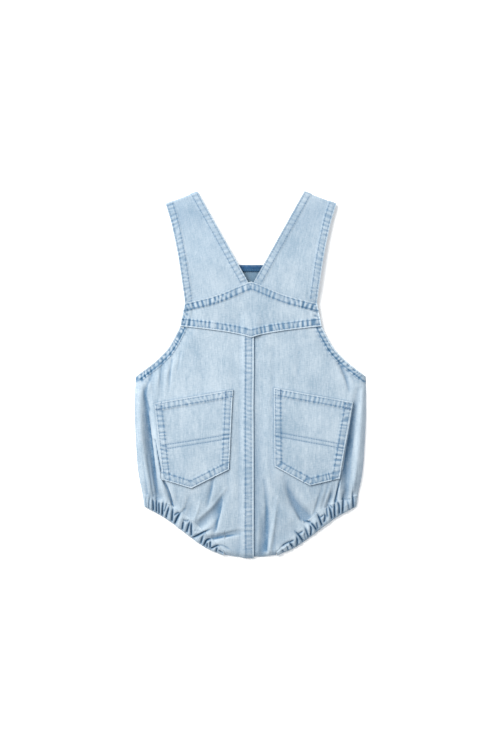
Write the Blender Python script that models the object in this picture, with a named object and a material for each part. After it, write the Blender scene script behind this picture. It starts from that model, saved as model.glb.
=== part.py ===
"""Baby's bubble dungarees in light denim, laid flat on their front with the back up.

Metres, +Z up. The neck points to +Y, the wearer's left side to -X and the floor is z = 0.
The front lies on the floor, the back lies on the front, and the straps fold over at the
shoulders and button to the bib underneath.
"""

import math
from collections import namedtuple

import bmesh
import bpy
import numpy as np

# Driving sizes of the cloth
CLOTH = 0.0011
SEAM_GAP = 0.0003
LAYER = CLOTH + SEAM_GAP
LAP_SLACK = 0.0001
SEAM_LAP = 0.009
HEM_WIDTH = 0.0085
HEM_STEP = 0.0015
HEM_RISE = 0.0006
HEM_STEPS = (0.0, HEM_WIDTH, HEM_WIDTH + HEM_STEP)

# The centre back seam: the left panel laps over the right one
CENTRE_LAP_EDGE = 0.0040
CENTRE_UNDER_EDGE = -0.0045
CENTRE_FLAT = 0.0065
CENTRE_RAMP = 0.0070
UNDER_PRESS = 0.0004

Point = namedtuple("Point", "x y")
Level = namedtuple("Level", "y height")
Crease = namedtuple("Crease", "x0 y0 x1 y1 x2 y2 half_width start middle end")
PocketCorner = namedtuple("PocketCorner", "left_x left_y right_x right_y")
CasingRow = namedtuple("CasingRow", "share inside thickness gather")

# Outline of the back, wearer's right half, from the yoke down to the crotch
ARMHOLE = (
    Point(0.0755, 0.0834),
    Point(0.0788, 0.0650),
    Point(0.0811, 0.0558),
    Point(0.0880, 0.0420),
    Point(0.0966, 0.0282),
    Point(0.1104, 0.0144),
    Point(0.1204, 0.0066),
    Point(0.1323, -0.0025),
)
PANEL_TOP_Y = 0.0650
SIDE = (
    Point(0.1323, -0.0025),
    Point(0.1330, -0.0400),
    Point(0.1317, -0.0753),
    Point(0.1292, -0.1098),
    Point(0.1241, -0.1374),
)
CASING_SEAM = (
    Point(0.1241, -0.1374),
    Point(0.0889, -0.1507),
    Point(0.0659, -0.1669),
    Point(0.0500, -0.1825),
    Point(0.0371, -0.1945),
    Point(0.0297, -0.2018),
)
HEM = (
    Point(0.1220, -0.1516),
    Point(0.0965, -0.1659),
    Point(0.0690, -0.1866),
    Point(0.0500, -0.1996),
    Point(0.0308, -0.2076),
)
CROTCH = (Point(0.0297, -0.2072), Point(0.0160, -0.2094), Point(0.0, -0.2100))

# Yoke seams, straps and bib, wearer's right half
YOKE_TOP = (Point(0.0, 0.1065), Point(0.0100, 0.1030), Point(0.0394, 0.0910), Point(0.0759, 0.0814))
YOKE_BOTTOM = (Point(0.0, 0.0425), Point(0.0118, 0.0458), Point(0.0348, 0.0500), Point(0.0811, 0.0558))
YOKE_DIP = 0.0007
STRAP_OUTER = (
    Point(0.0755, 0.0745),
    Point(0.0762, 0.0860),
    Point(0.0790, 0.1060),
    Point(0.0828, 0.1317),
    Point(0.0868, 0.1524),
    Point(0.0920, 0.1760),
    Point(0.0981, 0.1960),
)
STRAP_INNER = (Point(0.0012, 0.0985), Point(0.0040, 0.1075), Point(0.0612, 0.2104))
STRAP_END_WIDTH = 0.030
STRAP_END_CORNER = 0.004
STRAP_FOLD_RADIUS = 0.0025
BIB_TOP = 0.1260
BIB_HEM = 0.0090
BIB_SIDE = (
    Point(0.0620, BIB_TOP),
    Point(0.0655, 0.1000),
    Point(0.0700, 0.0780),
    Point(0.0760, 0.0560),
    Point(0.0830, 0.0410),
    Point(0.0930, 0.0250),
    Point(0.1080, 0.0110),
    Point(0.1290, -0.0045),
)
FRONT_INSET = 0.0026
FRONT_CROTCH_INSET = 0.0048

# Height of the top of the back cloth along the middle of the garment
BACK_LEVELS = (
    Level(-0.2100, 0.0052),
    Level(-0.1950, 0.0060),
    Level(-0.1650, 0.0078),
    Level(-0.1250, 0.0092),
    Level(-0.0800, 0.0084),
    Level(-0.0200, 0.0066),
    Level(0.0300, 0.0058),
    Level(0.0600, 0.0062),
    Level(0.0900, 0.0076),
    Level(0.1280, 0.0082),
    Level(0.1500, 0.0068),
    Level(0.1800, 0.0056),
    Level(0.2100, 0.0050),
)
# Height of the same cloth at the armhole edge
ARMHOLE_LEVELS = (Level(-0.0030, 0.0030), Level(0.0500, 0.0040), Level(0.0850, 0.0066))
ARMHOLE_FALL = 0.020
STRAP_START_Y = 0.110
SIDE_ROUND = 0.0095
CROTCH_ROUND = 0.0070
CASING_LEVEL = 0.0062
CASING_FALL = 0.0160

# Creases of the back: a trough has a positive depth and a ridge a negative one
CREASES = (
    Crease(-0.1215, -0.0180, -0.1150, -0.0860, -0.1050, -0.1400, 0.0085, 0.0012, 0.0050, 0.0032),
    Crease(-0.1270, -0.0150, -0.1255, -0.0800, -0.1150, -0.1340, 0.0070, -0.0008, -0.0016, -0.0010),
    Crease(-0.0990, -0.1190, -0.0955, -0.1350, -0.0885, -0.1500, 0.0050, 0.0010, 0.0020, 0.0022),
    Crease(-0.0300, -0.1360, -0.0420, -0.1570, -0.0600, -0.1750, 0.0100, 0.0008, 0.0028, 0.0030),
    Crease(-0.0080, -0.1800, -0.0270, -0.1830, -0.0500, -0.1880, 0.0055, 0.0006, 0.0020, 0.0026),
    Crease(-0.0700, -0.1380, -0.0690, -0.1520, -0.0740, -0.1660, 0.0080, 0.0004, 0.0014, 0.0018),
    Crease(-0.1000, 0.0150, -0.1010, -0.0030, -0.1030, -0.0240, 0.0050, 0.0008, 0.0011, 0.0003),
    Crease(-0.1140, 0.0060, -0.1130, -0.0080, -0.1120, -0.0220, 0.0045, 0.0006, 0.0010, 0.0003),
    Crease(0.1232, -0.0200, 0.1150, -0.0800, 0.1095, -0.1420, 0.0070, 0.0010, 0.0048, 0.0034),
    Crease(0.1290, -0.0200, 0.1255, -0.0800, 0.1190, -0.1320, 0.0060, -0.0008, -0.0014, -0.0010),
    Crease(0.0360, -0.1240, 0.0480, -0.1480, 0.0680, -0.1690, 0.0120, 0.0008, 0.0032, 0.0034),
    Crease(0.0170, -0.1560, 0.0160, -0.1800, 0.0140, -0.2060, 0.0070, 0.0006, 0.0022, 0.0018),
    Crease(0.0280, -0.1560, 0.0250, -0.1800, 0.0190, -0.2050, 0.0060, -0.0004, -0.0012, -0.0010),
    Crease(0.1010, 0.0120, 0.1090, -0.0020, 0.1140, -0.0180, 0.0050, 0.0008, 0.0012, 0.0004),
    Crease(0.0960, -0.1280, 0.0930, -0.1400, 0.0880, -0.1520, 0.0050, 0.0006, 0.0018, 0.0020),
    Crease(-0.0070, 0.0300, -0.0110, -0.0700, -0.0080, -0.1500, 0.0120, 0.0002, 0.0008, 0.0004),
    Crease(0.0130, 0.0200, 0.0120, -0.0700, 0.0130, -0.1500, 0.0110, 0.0002, 0.0010, 0.0004),
)

# Patch pockets on the back, corner by corner
POCKET_CORNERS = {
    "inner_top": PocketCorner(-0.0202, -0.0173, 0.0267, -0.0152),
    "outer_top": PocketCorner(-0.1100, -0.0328, 0.1170, -0.0316),
    "outer_bottom": PocketCorner(-0.1002, -0.1202, 0.1021, -0.1190),
    "point": PocketCorner(-0.0677, -0.1302, 0.0682, -0.1272),
    "inner_bottom": PocketCorner(-0.0244, -0.1087, 0.0277, -0.1051),
}
POCKET_EDGE_RISE = 0.0004
POCKET_HEM_RISE = 0.0004

# Elastic leg casings, from the seam to the free edge, with their gathers
CASING_ROWS = (
    CasingRow(0.00, 0.0043, 0.0018, 0.30),
    CasingRow(0.15, 0.0041, 0.0015, 0.70),
    CasingRow(0.50, 0.0036, 0.0020, 1.00),
    CasingRow(0.85, 0.0027, 0.0017, 0.80),
    CasingRow(1.00, 0.0023, 0.0010, 0.40),
)
GATHERS = 19
GATHER_RISE = 0.0015
GATHER_DRIFT = 0.45
GATHER_WAVES = 2.3
GATHER_FULLNESS = 0.8
STEPS_A_GATHER = 4
CASING_ROUND = 0.0065
CASING_WALL = 0.0018
CASING_GAP = 0.0004
CROTCH_END = 0.012
CROTCH_FLATTEN = 0.9
FRONT_CASING = 0.0017
FRONT_CASING_INSET = 0.0060

# Buttons that hold the straps to the bib
BUTTON_AT = Point(0.0535, 0.1080)
BUTTON_TO_STRAP_END = 0.013
BUTTON_RADIUS = 0.0075
BUTTON_THICK = 0.0020
BUTTON_EDGE = 0.0005
BUTTON_HOLE = 0.0009
BUTTON_HOLE_SPACING = 0.0026
BUTTON_SIDES = 28
BUTTON_HOLE_SIDES = 8
STRAP_OVER_BUTTON = BUTTON_THICK + SEAM_GAP
BIB_OVER_STRAP = STRAP_OVER_BUTTON + LAYER
BUTTON_CLEARANCE = 0.0026
STRAP_CLEARANCE = 0.0185
LIFT_FALL = 0.012

# The upper part lies a little towards the wearer's right
LEAN = 0.0007
LEAN_FROM_Y, LEAN_TO_Y = -0.040, 0.020

# Grid sizes, in points
PANEL_ACROSS, PANEL_DOWN, ARMHOLE_DOWN = 18, 32, 12
FRONT_ACROSS, FRONT_DOWN, BIB_DOWN = 21, 20, 11
YOKE_ACROSS, YOKE_MIDDLE = 31, 1
STRAP_DOWN, STRAP_FOLD, STRAP_FRONT, STRAP_MIDDLE = 10, 7, 9, 2
POCKET_BETWEEN = 2
FRONT_CASING_ALONG = 24
CURVE_POINTS = 60

# How much closer grid lines stand towards an edge that turns down to the floor
CROWD_AT_EDGE = 1.3
CROWD_AT_CROTCH = 1.5
CROWD_AT_ARMHOLE = 1.6
STRAIGHT_AT_SEAM = 2.0

# Plain finish of each kind of cloth: colour and roughness
FINISHES = {
    "denim": ((0.52, 0.66, 0.78), 0.85),
    "denim_inside": ((0.36, 0.50, 0.62), 0.90),
    "denim_hem": ((0.20, 0.36, 0.52), 0.90),
    "casing": ((0.44, 0.60, 0.74), 0.85),
    "button": ((0.86, 0.87, 0.86), 0.35),
}


def clear_scene():
    for old in list(bpy.data.objects):
        bpy.data.objects.remove(old)


def material(name):
    """A plain Principled finish from the table above."""
    found = bpy.data.materials.get(name)
    if found:
        return found
    colour, roughness = FINISHES[name]
    made = bpy.data.materials.new(name)
    made.use_nodes = True
    shader = made.node_tree.nodes["Principled BSDF"]
    shader.inputs["Base Color"].default_value = (*colour, 1.0)
    shader.inputs["Roughness"].default_value = roughness
    shader.inputs["Metallic"].default_value = 0.0
    return made


def ease(t):
    """0 to 1 with level ends."""
    t = np.clip(t, 0.0, 1.0)
    return t * t * (3.0 - 2.0 * t)


def quarter_round(t):
    """0 to 1 along a quarter of an ellipse, upright at 0."""
    t = np.clip(t, 0.0, 1.0)
    return np.sqrt(1.0 - (1.0 - t) ** 2)


def mix(a, b, t):
    return a + (b - a) * t


def unit(vector):
    return np.asarray(vector) / np.linalg.norm(vector)


def run_of(line):
    """Distance of each point from the start of its line."""
    return np.concatenate([[0.0], np.cumsum(np.linalg.norm(np.diff(line, axis=0), axis=1))])


def points_at(line, distances):
    """Points at these distances along a line."""
    line = np.asarray(line, float)
    run = run_of(line)
    return np.stack([np.interp(distances, run, line[:, k]) for k in range(line.shape[1])], axis=1)


def even(line, count):
    """The same line, with count points evenly spaced along it."""
    return points_at(line, np.linspace(0.0, run_of(np.asarray(line, float))[-1], count))


def clustered(line, count, power, first=()):
    """Points along a line: some at given distances, the rest closer together towards its far end."""
    length = run_of(np.asarray(line, float))[-1]
    start = first[-1] if first else 0.0
    crowd = 1.0 - (1.0 - np.linspace(0.0, 1.0, count - len(first))) ** power
    spread = start + (length - start) * crowd
    given = [0.0, *first] if first else [0.0]
    return points_at(line, np.concatenate([given, spread[1:]]))


def smooth(points, count):
    """A Catmull-Rom curve through the points, evenly spaced."""
    p = np.asarray(points, float)
    p = np.vstack([2 * p[0] - p[1], p, 2 * p[-1] - p[-2]])
    fine = []
    t = np.linspace(0.0, 1.0, 16, endpoint=False)[:, None]
    for a, b, c, d in zip(p, p[1:], p[2:], p[3:]):
        bend = 2 * a - 5 * b + 4 * c - d
        twist = 3 * b - a - 3 * c + d
        fine.append(0.5 * (2 * b + (c - a) * t + bend * t**2 + twist * t**3))
    fine.append(p[-2][None])
    return even(np.vstack(fine), count)


def mirrored(points, side):
    return np.asarray(points, float) * np.array([side, 1.0])


def both_sides(half):
    """A line that starts on the centre line, with its mirror image before it."""
    half = np.asarray(half, float)
    return np.vstack([mirrored(half[:0:-1], -1), half])


def nearest_on(line, x, y):
    """Distance of each point from a line, and how far along the nearest spot is, from 0 to 1."""
    spot = np.stack([x, y], axis=-1)[..., None, :]
    start, step = line[:-1], np.diff(line, axis=0)
    t = np.clip(((spot - start) * step).sum(-1) / np.maximum((step**2).sum(-1), 1e-12), 0.0, 1.0)
    gap = np.sqrt(((spot - start - t[..., None] * step) ** 2).sum(-1))
    best = gap.argmin(-1)
    share = (best + np.take_along_axis(t, best[..., None], -1)[..., 0]) / len(step)
    return gap.min(-1), share


def distance_to(line, x, y):
    return nearest_on(line, x, y)[0]


def distance_to_pair(lines, x, y):
    return np.minimum(distance_to(lines[0], x, y), distance_to(lines[1], x, y))


def level_at(levels, y):
    """Smoothed height from a table of levels."""
    ys = [row.y for row in levels]
    heights = [row.height for row in levels]
    blur = np.linspace(-0.006, 0.006, 5)
    return np.mean([np.interp(y + shift, ys, heights) for shift in blur], axis=0)


# Outlines of both halves: the wearer's left half first
ARMHOLE_LINES = [smooth(mirrored(ARMHOLE, side), CURVE_POINTS) for side in (-1, 1)]
SIDE_LINES = [smooth(mirrored(SIDE, side), CURVE_POINTS) for side in (-1, 1)]
CASING_LINES = [smooth(mirrored(CASING_SEAM, side), CURVE_POINTS) for side in (-1, 1)]
CROTCH_LINE = both_sides(CROTCH[::-1])
CREASE_LINES = [smooth([(row.x0, row.y0), (row.x1, row.y1), (row.x2, row.y2)], 12) for row in CREASES]

# The folded strap: its corners at the shoulder and the way its buttoned end runs
FOLD_OUTER = np.array(STRAP_OUTER[-1])
FOLD_INNER = np.array(STRAP_INNER[-1])
FOLD_WAY = unit([FOLD_INNER[1] - FOLD_OUTER[1], FOLD_OUTER[0] - FOLD_INNER[0]])
STRAP_WAY = unit((FOLD_OUTER + FOLD_INNER) / 2 - np.array(BUTTON_AT))
STRAP_SPINES = [mirrored([BUTTON_AT, (FOLD_OUTER + FOLD_INNER) / 2], side) for side in (-1, 1)]
BUTTON_SPOTS = [np.array([[side * BUTTON_AT.x, BUTTON_AT.y]] * 2) for side in (-1, 1)]


def crease_depth(x, y):
    total = np.zeros_like(x)
    for row, line in zip(CREASES, CREASE_LINES):
        gap, share = nearest_on(line, x, y)
        depth = np.interp(share, [0.0, 0.5, 1.0], [row.start, row.middle, row.end])
        total += depth * 0.5 * (1.0 + np.cos(math.pi * np.minimum(gap / row.half_width, 1.0)))
    return total


def back_top(x, y):
    """Height of the top of the back's cloth, before laps and hems."""
    height = level_at(BACK_LEVELS, y)
    to_armhole = ease(distance_to_pair(ARMHOLE_LINES, x, y) / ARMHOLE_FALL)
    height = np.where(y < STRAP_START_Y, mix(level_at(ARMHOLE_LEVELS, y), height, to_armhole), height)
    height = mix(CASING_LEVEL, height, ease(distance_to_pair(CASING_LINES, x, y) / CASING_FALL))
    height = height - crease_depth(x, y)
    at_side = quarter_round(distance_to_pair(SIDE_LINES, x, y) / SIDE_ROUND)
    return height * at_side * quarter_round(distance_to(CROTCH_LINE, x, y) / CROTCH_ROUND)


def hem_rise(distance):
    """Extra height of a turned edge, by distance from that edge."""
    return HEM_RISE * (1.0 - ease((distance - HEM_WIDTH) / HEM_STEP))


def centre_share(x):
    """1 along the centre back seam, 0 away from it."""
    return 1.0 - ease((np.abs(x) - CENTRE_FLAT) / CENTRE_RAMP)


def strap_front_bottom(x, y):
    """Height of the strap's buttoned end: on the floor, lifted over the button."""
    beyond = distance_to_pair(BUTTON_SPOTS, x, y) - BUTTON_RADIUS - BUTTON_CLEARANCE
    return STRAP_OVER_BUTTON * (1.0 - ease(beyond / LIFT_FALL))


def front_bottom(x, y):
    """Height of the front's underside: on the floor, lifted where the straps' ends are under it."""
    beyond = distance_to_pair(STRAP_SPINES, x, y) - STRAP_CLEARANCE
    return BIB_OVER_STRAP * (1.0 - ease(beyond / LIFT_FALL))


def patch(top, bottom, left, right, pull=1.0):
    """A Coons patch in x and y: rows run from top to bottom and columns from left to right.

    A pull above 1 keeps the first columns straight beside a curved last one.
    """
    lines = [np.asarray(line, float) for line in (top, bottom, left, right)]
    top, bottom, left, right = lines
    shares = [run_of(line) / run_of(line)[-1] for line in lines]
    u = (0.5 * (shares[0] + shares[1]))[None, :, None] ** pull
    v = (0.5 * (shares[2] + shares[3]))[:, None, None]
    ruled = mix(top[None], bottom[None], v) + mix(left[:, None], right[:, None], u)
    corners = mix(mix(top[0], top[-1], u), mix(bottom[0], bottom[-1], u), v)
    return ruled - corners


def ruled(first, last, steps, middles):
    """Points from one line to another: at set distances from both ends, with some between."""
    way = last - first
    near = np.array(steps)[None] / np.linalg.norm(way, axis=1)[:, None]
    between = np.arange(1, middles + 1) / (middles + 1)
    inner = mix(near[:, -1:], 1.0 - near[:, -1:], between[None])
    shares = np.hstack([near, inner, 1.0 - near[:, ::-1]])
    return first[:, None] + shares[..., None] * way[:, None]


def grid_normals(grid):
    """Unit normals that point up along the grid's first row."""
    normal = np.cross(np.gradient(grid, axis=0), np.gradient(grid, axis=1))
    normal /= np.maximum(np.linalg.norm(normal, axis=-1, keepdims=True), 1e-12)
    return normal * (-1.0 if normal[0, :, 2].sum() < 0 else 1.0)


def moved_out(grid, distance):
    """The grid moved along its normals, where an edge that stands on the floor stays on it."""
    moved = grid + grid_normals(grid) * np.asarray(distance)[..., None]
    moved[..., 2] = np.where(grid[..., 2] < 1e-6, 0.0, np.maximum(moved[..., 2], 0.0))
    return moved


def finish_mesh(name, work, finish):
    """A node of that name from a closed bmesh."""
    for vert in work.verts:
        vert.co.x += LEAN * float(ease((vert.co.y - LEAN_FROM_Y) / (LEAN_TO_Y - LEAN_FROM_Y)))
    bmesh.ops.recalc_face_normals(work, faces=work.faces)
    mesh = bpy.data.meshes.new(name)
    work.to_mesh(mesh)
    work.free()
    mesh.shade_smooth()
    mesh.set_sharp_from_angle(angle=math.radians(40.0))
    mesh.materials.append(material(finish))
    made = bpy.data.objects.new(name, mesh)
    bpy.context.scene.collection.objects.link(made)
    return made


def wall(name, outer, inner, finish):
    """One closed body between an outer grid and an inner one."""
    work = bmesh.new()
    grids = []
    for grid in (outer, inner):
        grids.append([[work.verts.new(point) for point in row] for row in grid])
    rows, columns = outer.shape[:2]
    for grid in grids:
        for r in range(rows - 1):
            for c in range(columns - 1):
                work.faces.new((grid[r][c], grid[r + 1][c], grid[r + 1][c + 1], grid[r][c + 1]))
    rim = [(0, c) for c in range(columns)]
    rim += [(r, columns - 1) for r in range(1, rows)]
    rim += [(rows - 1, c) for c in range(columns - 2, -1, -1)]
    rim += [(r, 0) for r in range(rows - 2, 0, -1)]
    for a, b in zip(rim, rim[1:] + rim[:1]):
        corners = [grids[0][a[0]][a[1]], grids[0][b[0]][b[1]], grids[1][b[0]][b[1]], grids[1][a[0]][a[1]]]
        work.faces.new(corners)
    return finish_mesh(name, work, finish)


def back_panel(name, side, centre_x, lap_rise):
    """One back leg panel, from the centre back seam to the armhole, side and leg."""
    half = (side + 1) // 2
    armhole_line = ARMHOLE_LINES[half]
    upper = even(armhole_line[armhole_line[:, 1] <= PANEL_TOP_Y], ARMHOLE_DOWN)
    lower = clustered(SIDE_LINES[half], PANEL_DOWN - ARMHOLE_DOWN + 1, CROWD_AT_EDGE)
    top_start = np.array([centre_x, YOKE_BOTTOM[0].y + SEAM_LAP])
    bottom_start = np.array([centre_x, CROTCH[-1].y])
    to_flat = abs(side * CENTRE_FLAT - centre_x)
    near_seam = (to_flat, to_flat + CENTRE_RAMP)
    top = clustered([top_start, upper[0]], PANEL_ACROSS, CROWD_AT_ARMHOLE, near_seam)
    crotch = np.vstack([bottom_start, mirrored(CROTCH[:-1], side)[::-1]])
    crotch = points_at(crotch, [0.0, *near_seam, run_of(crotch)[-1] - HEM_WIDTH / 2, run_of(crotch)[-1]])
    leg = clustered(CASING_LINES[half][::-1], PANEL_ACROSS - len(crotch), CROWD_AT_EDGE)
    bottom = np.vstack([crotch, leg])
    centre = clustered([top_start, bottom_start], PANEL_DOWN, CROWD_AT_CROTCH)
    plan = patch(top, bottom, centre, np.vstack([upper, lower[1:]]), STRAIGHT_AT_SEAM)
    x, y = plan[..., 0], plan[..., 1]
    edge = quarter_round(distance_to(SIDE_LINES[half], x, y) / SIDE_ROUND)
    rise = hem_rise(distance_to(armhole_line, x, y)) * edge + lap_rise * centre_share(x)
    outer = moved_out(np.dstack([x, y, back_top(x, y)]), rise)
    wall(name, outer, moved_out(outer, -CLOTH), "denim")


def back_yoke():
    """The yoke across the back, sewn on top of the straps and of the two panels."""
    top_line = both_sides(smooth(YOKE_TOP, CURVE_POINTS))
    bottom_line = both_sides(smooth(YOKE_BOTTOM, CURVE_POINTS))
    seams = (even(top_line, YOKE_ACROSS), even(bottom_line, YOKE_ACROSS))
    plan = ruled(*seams, HEM_STEPS, YOKE_MIDDLE).transpose(1, 0, 2)
    x, y = plan[..., 0], plan[..., 1]
    to_seam = distance_to_pair([top_line, bottom_line], x, y)
    over_lap = centre_share(x) * (1.0 - ease((y - PANEL_TOP_Y) / SEAM_LAP))
    rise = (LAYER + LAP_SLACK) * (1.0 + over_lap) + hem_rise(distance_to_pair(ARMHOLE_LINES, x, y))
    rise = rise - YOKE_DIP * ease((to_seam - HEM_WIDTH) / HEM_STEP)
    outer = moved_out(np.dstack([x, y, back_top(x, y)]), rise)
    wall("back_yoke", outer, moved_out(outer, -CLOTH), "denim")


def strap_back():
    """The strap's back stretch, from under the yoke up to the shoulder, and its extra height."""
    lap_rows = (0.0, SEAM_LAP)
    edges = []
    for line in (smooth(STRAP_OUTER, CURVE_POINTS), np.array(STRAP_INNER)):
        end = run_of(line)[-1] - STRAP_FOLD_RADIUS
        along = np.linspace(SEAM_LAP + 2 * HEM_STEP, end, STRAP_DOWN)
        edges.append(points_at(line, np.concatenate([lap_rows, along])))
    plan = ruled(*edges, HEM_STEPS, STRAP_MIDDLE)
    height = back_top(plan[..., 0], plan[..., 1])
    height[-1] = mix(height[-1], 2.0 * STRAP_FOLD_RADIUS, 0.5)
    to_edge = np.minimum(*(np.linalg.norm(plan - edge[:, None], axis=-1) for edge in edges))
    rise = hem_rise(to_edge)
    rise[: len(lap_rows)] = 0.0
    return np.dstack([plan, height]), rise


def strap_fold():
    """Half a turn around the shoulder, and the line where it comes down on the floor."""
    line = ruled(FOLD_OUTER[None], FOLD_INNER[None], HEM_STEPS, STRAP_MIDDLE)[0]
    line = line - STRAP_FOLD_RADIUS * FOLD_WAY
    rows = []
    for angle in np.linspace(0.0, math.pi, STRAP_FOLD)[1:]:
        spots = line + STRAP_FOLD_RADIUS * math.sin(angle) * FOLD_WAY
        height = STRAP_FOLD_RADIUS * (1.0 + math.cos(angle))
        rows.append(np.column_stack([spots, np.full(len(spots), height)]))
    return np.array(rows), line


def strap_front(fold_line):
    """The strap's front stretch, flat on the floor and lifted over the button, with cut corners."""
    across = np.array([STRAP_WAY[1], -STRAP_WAY[0]])
    end = np.array(BUTTON_AT) - BUTTON_TO_STRAP_END * STRAP_WAY
    half_width = STRAP_END_WIDTH / 2
    edges = []
    for sign, fold_end in ((1, fold_line[0]), (-1, fold_line[-1])):
        full_width = end + STRAP_END_CORNER * STRAP_WAY + sign * half_width * across
        corner = end + sign * (half_width - STRAP_END_CORNER) * across
        edges.append(np.vstack([even([fold_end, full_width], STRAP_FRONT)[1:], corner]))
    steps = (0.0, half_width / 2)
    middles = STRAP_MIDDLE + 2 * (len(HEM_STEPS) - len(steps))
    plan = ruled(*edges, steps, middles)
    return np.dstack([plan, strap_front_bottom(plan[..., 0], plan[..., 1])])


def strap(name, side):
    """A shoulder strap: from under the yoke to the shoulder, over it, and down to its button."""
    back, back_rise = strap_back()
    fold, fold_line = strap_fold()
    grid = np.vstack([back, fold, strap_front(fold_line)])
    rise = np.zeros(grid.shape[:2])
    rise[: len(back)] = back_rise
    normals = grid_normals(grid)
    outer = (grid + normals * rise[..., None]) * np.array([side, 1.0, 1.0])
    inner = (grid - normals * CLOTH) * np.array([side, 1.0, 1.0])
    wall(name, outer, inner, "denim")


def pocket(name, side):
    """A patch pocket, made from the points of the panel under it, moved out."""
    corner = {}
    for key, row in POCKET_CORNERS.items():
        corner[key] = np.array([row.left_x, row.left_y] if side < 0 else [row.right_x, row.right_y])
    turned_steps = (0.0, HEM_WIDTH / 2, *HEM_STEPS[1:])
    slopes = []
    for start in ("inner_bottom", "outer_bottom"):
        length = np.linalg.norm(corner[start] - corner["point"])
        inward = np.linspace(turned_steps[-1], length, POCKET_BETWEEN + 2)[1:]
        slopes.append(points_at([corner[start], corner["point"]], np.concatenate([turned_steps, inward])))
    bottom = np.vstack([slopes[0], slopes[1][-2::-1]])
    shares = run_of(bottom) / run_of(bottom)[-1]
    width = np.linalg.norm(corner["outer_top"] - corner["inner_top"])
    top = points_at([corner["inner_top"], corner["outer_top"]], shares * width)
    side_tops = np.array([corner["inner_top"], corner["outer_top"]])
    side_bottoms = np.array([corner["inner_bottom"], corner["outer_bottom"]])
    sides = ruled(side_tops, side_bottoms, HEM_STEPS, 2 * POCKET_BETWEEN)
    plan = patch(top, bottom, sides[0], sides[1])
    x, y = plan[..., 0], plan[..., 1]
    outline = np.vstack([sides[0], bottom[1:], sides[1][-2::-1], top[-2::-1]])
    turned = 1.0 - ease((distance_to(outline, x, y) - HEM_WIDTH) / HEM_STEP)
    hemmed = 1.0 - ease((distance_to(top, x, y) - HEM_WIDTH) / HEM_STEP)
    base = moved_out(np.dstack([x, y, back_top(x, y)]), SEAM_GAP + LAP_SLACK)
    outer = moved_out(base, CLOTH + POCKET_EDGE_RISE * turned + POCKET_HEM_RISE * hemmed)
    wall(name, outer, base, "denim")


def gather_wave(share):
    """Rounded ridges with narrow slits between them, 0 to 1, along a casing."""
    drift = GATHER_DRIFT * np.sin(2.0 * math.pi * GATHER_WAVES * share) * np.sin(math.pi * share)
    return np.abs(np.cos(math.pi * (GATHERS * share + drift))) ** GATHER_FULLNESS


def back_casing(name, side):
    """The gathered elastic casing of one leg, back half: raised gathers over a plain inside."""
    columns = GATHERS * STEPS_A_GATHER + 1
    seam_line, hem_line = smooth(CASING_SEAM, CURVE_POINTS), smooth(HEM, CURVE_POINTS)
    seam_length, hem_length = run_of(seam_line)[-1], run_of(hem_line)[-1]
    surfaces = []
    for is_outer in (True, False):
        start = 0.0 if is_outer else CASING_WALL
        share = np.linspace(start / seam_length, 1.0, columns)
        seam = points_at(seam_line, share * seam_length)
        hem = points_at(hem_line, share * hem_length)
        seam = seam + CASING_GAP * (hem - seam) / np.linalg.norm(hem - seam, axis=1)[:, None]
        seam[:, 0] += CASING_GAP * ease(share)
        end = quarter_round((share * seam_length - start) / CASING_ROUND)
        crotch = mix(1.0, CROTCH_FLATTEN, ease(1.0 - (1.0 - share) * seam_length / CROTCH_END))
        wave = gather_wave(share)
        rows = []
        for row in CASING_ROWS:
            height = row.inside
            if is_outer:
                height = row.inside + row.thickness + row.gather * GATHER_RISE * wave
            spots = mix(seam, hem, row.share)
            rows.append(np.column_stack([spots[:, 0] * side, spots[:, 1], height * end * crotch]))
        surfaces.append(np.array(rows))
    wall(name, surfaces[0], surfaces[1], "casing")


def front_casing(name, side):
    """The same casing's front half, flat on the floor under the back half."""
    seam, hem = (
        points_at(line, np.linspace(FRONT_CASING_INSET, run_of(line)[-1], FRONT_CASING_ALONG))
        for line in (smooth(CASING_SEAM, CURVE_POINTS), smooth(HEM, CURVE_POINTS))
    )
    seam = seam + CASING_GAP * (hem - seam) / np.linalg.norm(hem - seam, axis=1)[:, None]
    low = []
    for share in (0.0, 0.5, 1.0):
        spots = mirrored(mix(seam, hem, share), side)
        low.append(np.column_stack([spots, np.zeros(len(spots))]))
    low = np.array(low)
    wall(name, low + np.array([0.0, 0.0, FRONT_CASING]), low, "casing")


def front_panel():
    """Bib and front legs in one, flat on the floor, and the hem turned in along the bib's top."""
    bib_line = smooth(BIB_SIDE, CURVE_POINTS)
    side_line = np.vstack([bib_line[-1], [(p.x - FRONT_INSET, p.y) for p in SIDE[1:]]])
    hem_rows = (0.0, BIB_HEM / 2)
    down = np.linspace(BIB_HEM, run_of(bib_line)[-1], BIB_DOWN - len(hem_rows))
    bib_edge = points_at(bib_line, np.concatenate([hem_rows, down]))
    edge = np.vstack([bib_edge, even(side_line, FRONT_DOWN - BIB_DOWN + 1)[1:]])
    seam = np.vstack([edge[-1], smooth(CASING_SEAM, CURVE_POINTS)[1:]])
    crotch = [(p.x, p.y + FRONT_CROTCH_INSET) for p in CROTCH]
    half = np.vstack([seam, crotch])[::-1]
    bottom = even(both_sides(half), FRONT_ACROSS)
    top = even([(-BIB_SIDE[0].x, BIB_TOP), BIB_SIDE[0]], FRONT_ACROSS)
    plan = patch(top, bottom, mirrored(edge, -1), edge)
    low = np.dstack([plan, front_bottom(plan[..., 0], plan[..., 1])])
    up = np.array([0.0, 0.0, 1.0])
    wall("front_panel", low + CLOTH * up, low, "denim_inside")
    hem = low[: len(hem_rows) + 1] + LAYER * up
    wall("bib_hem", hem + CLOTH * up, hem, "denim_hem")


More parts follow.
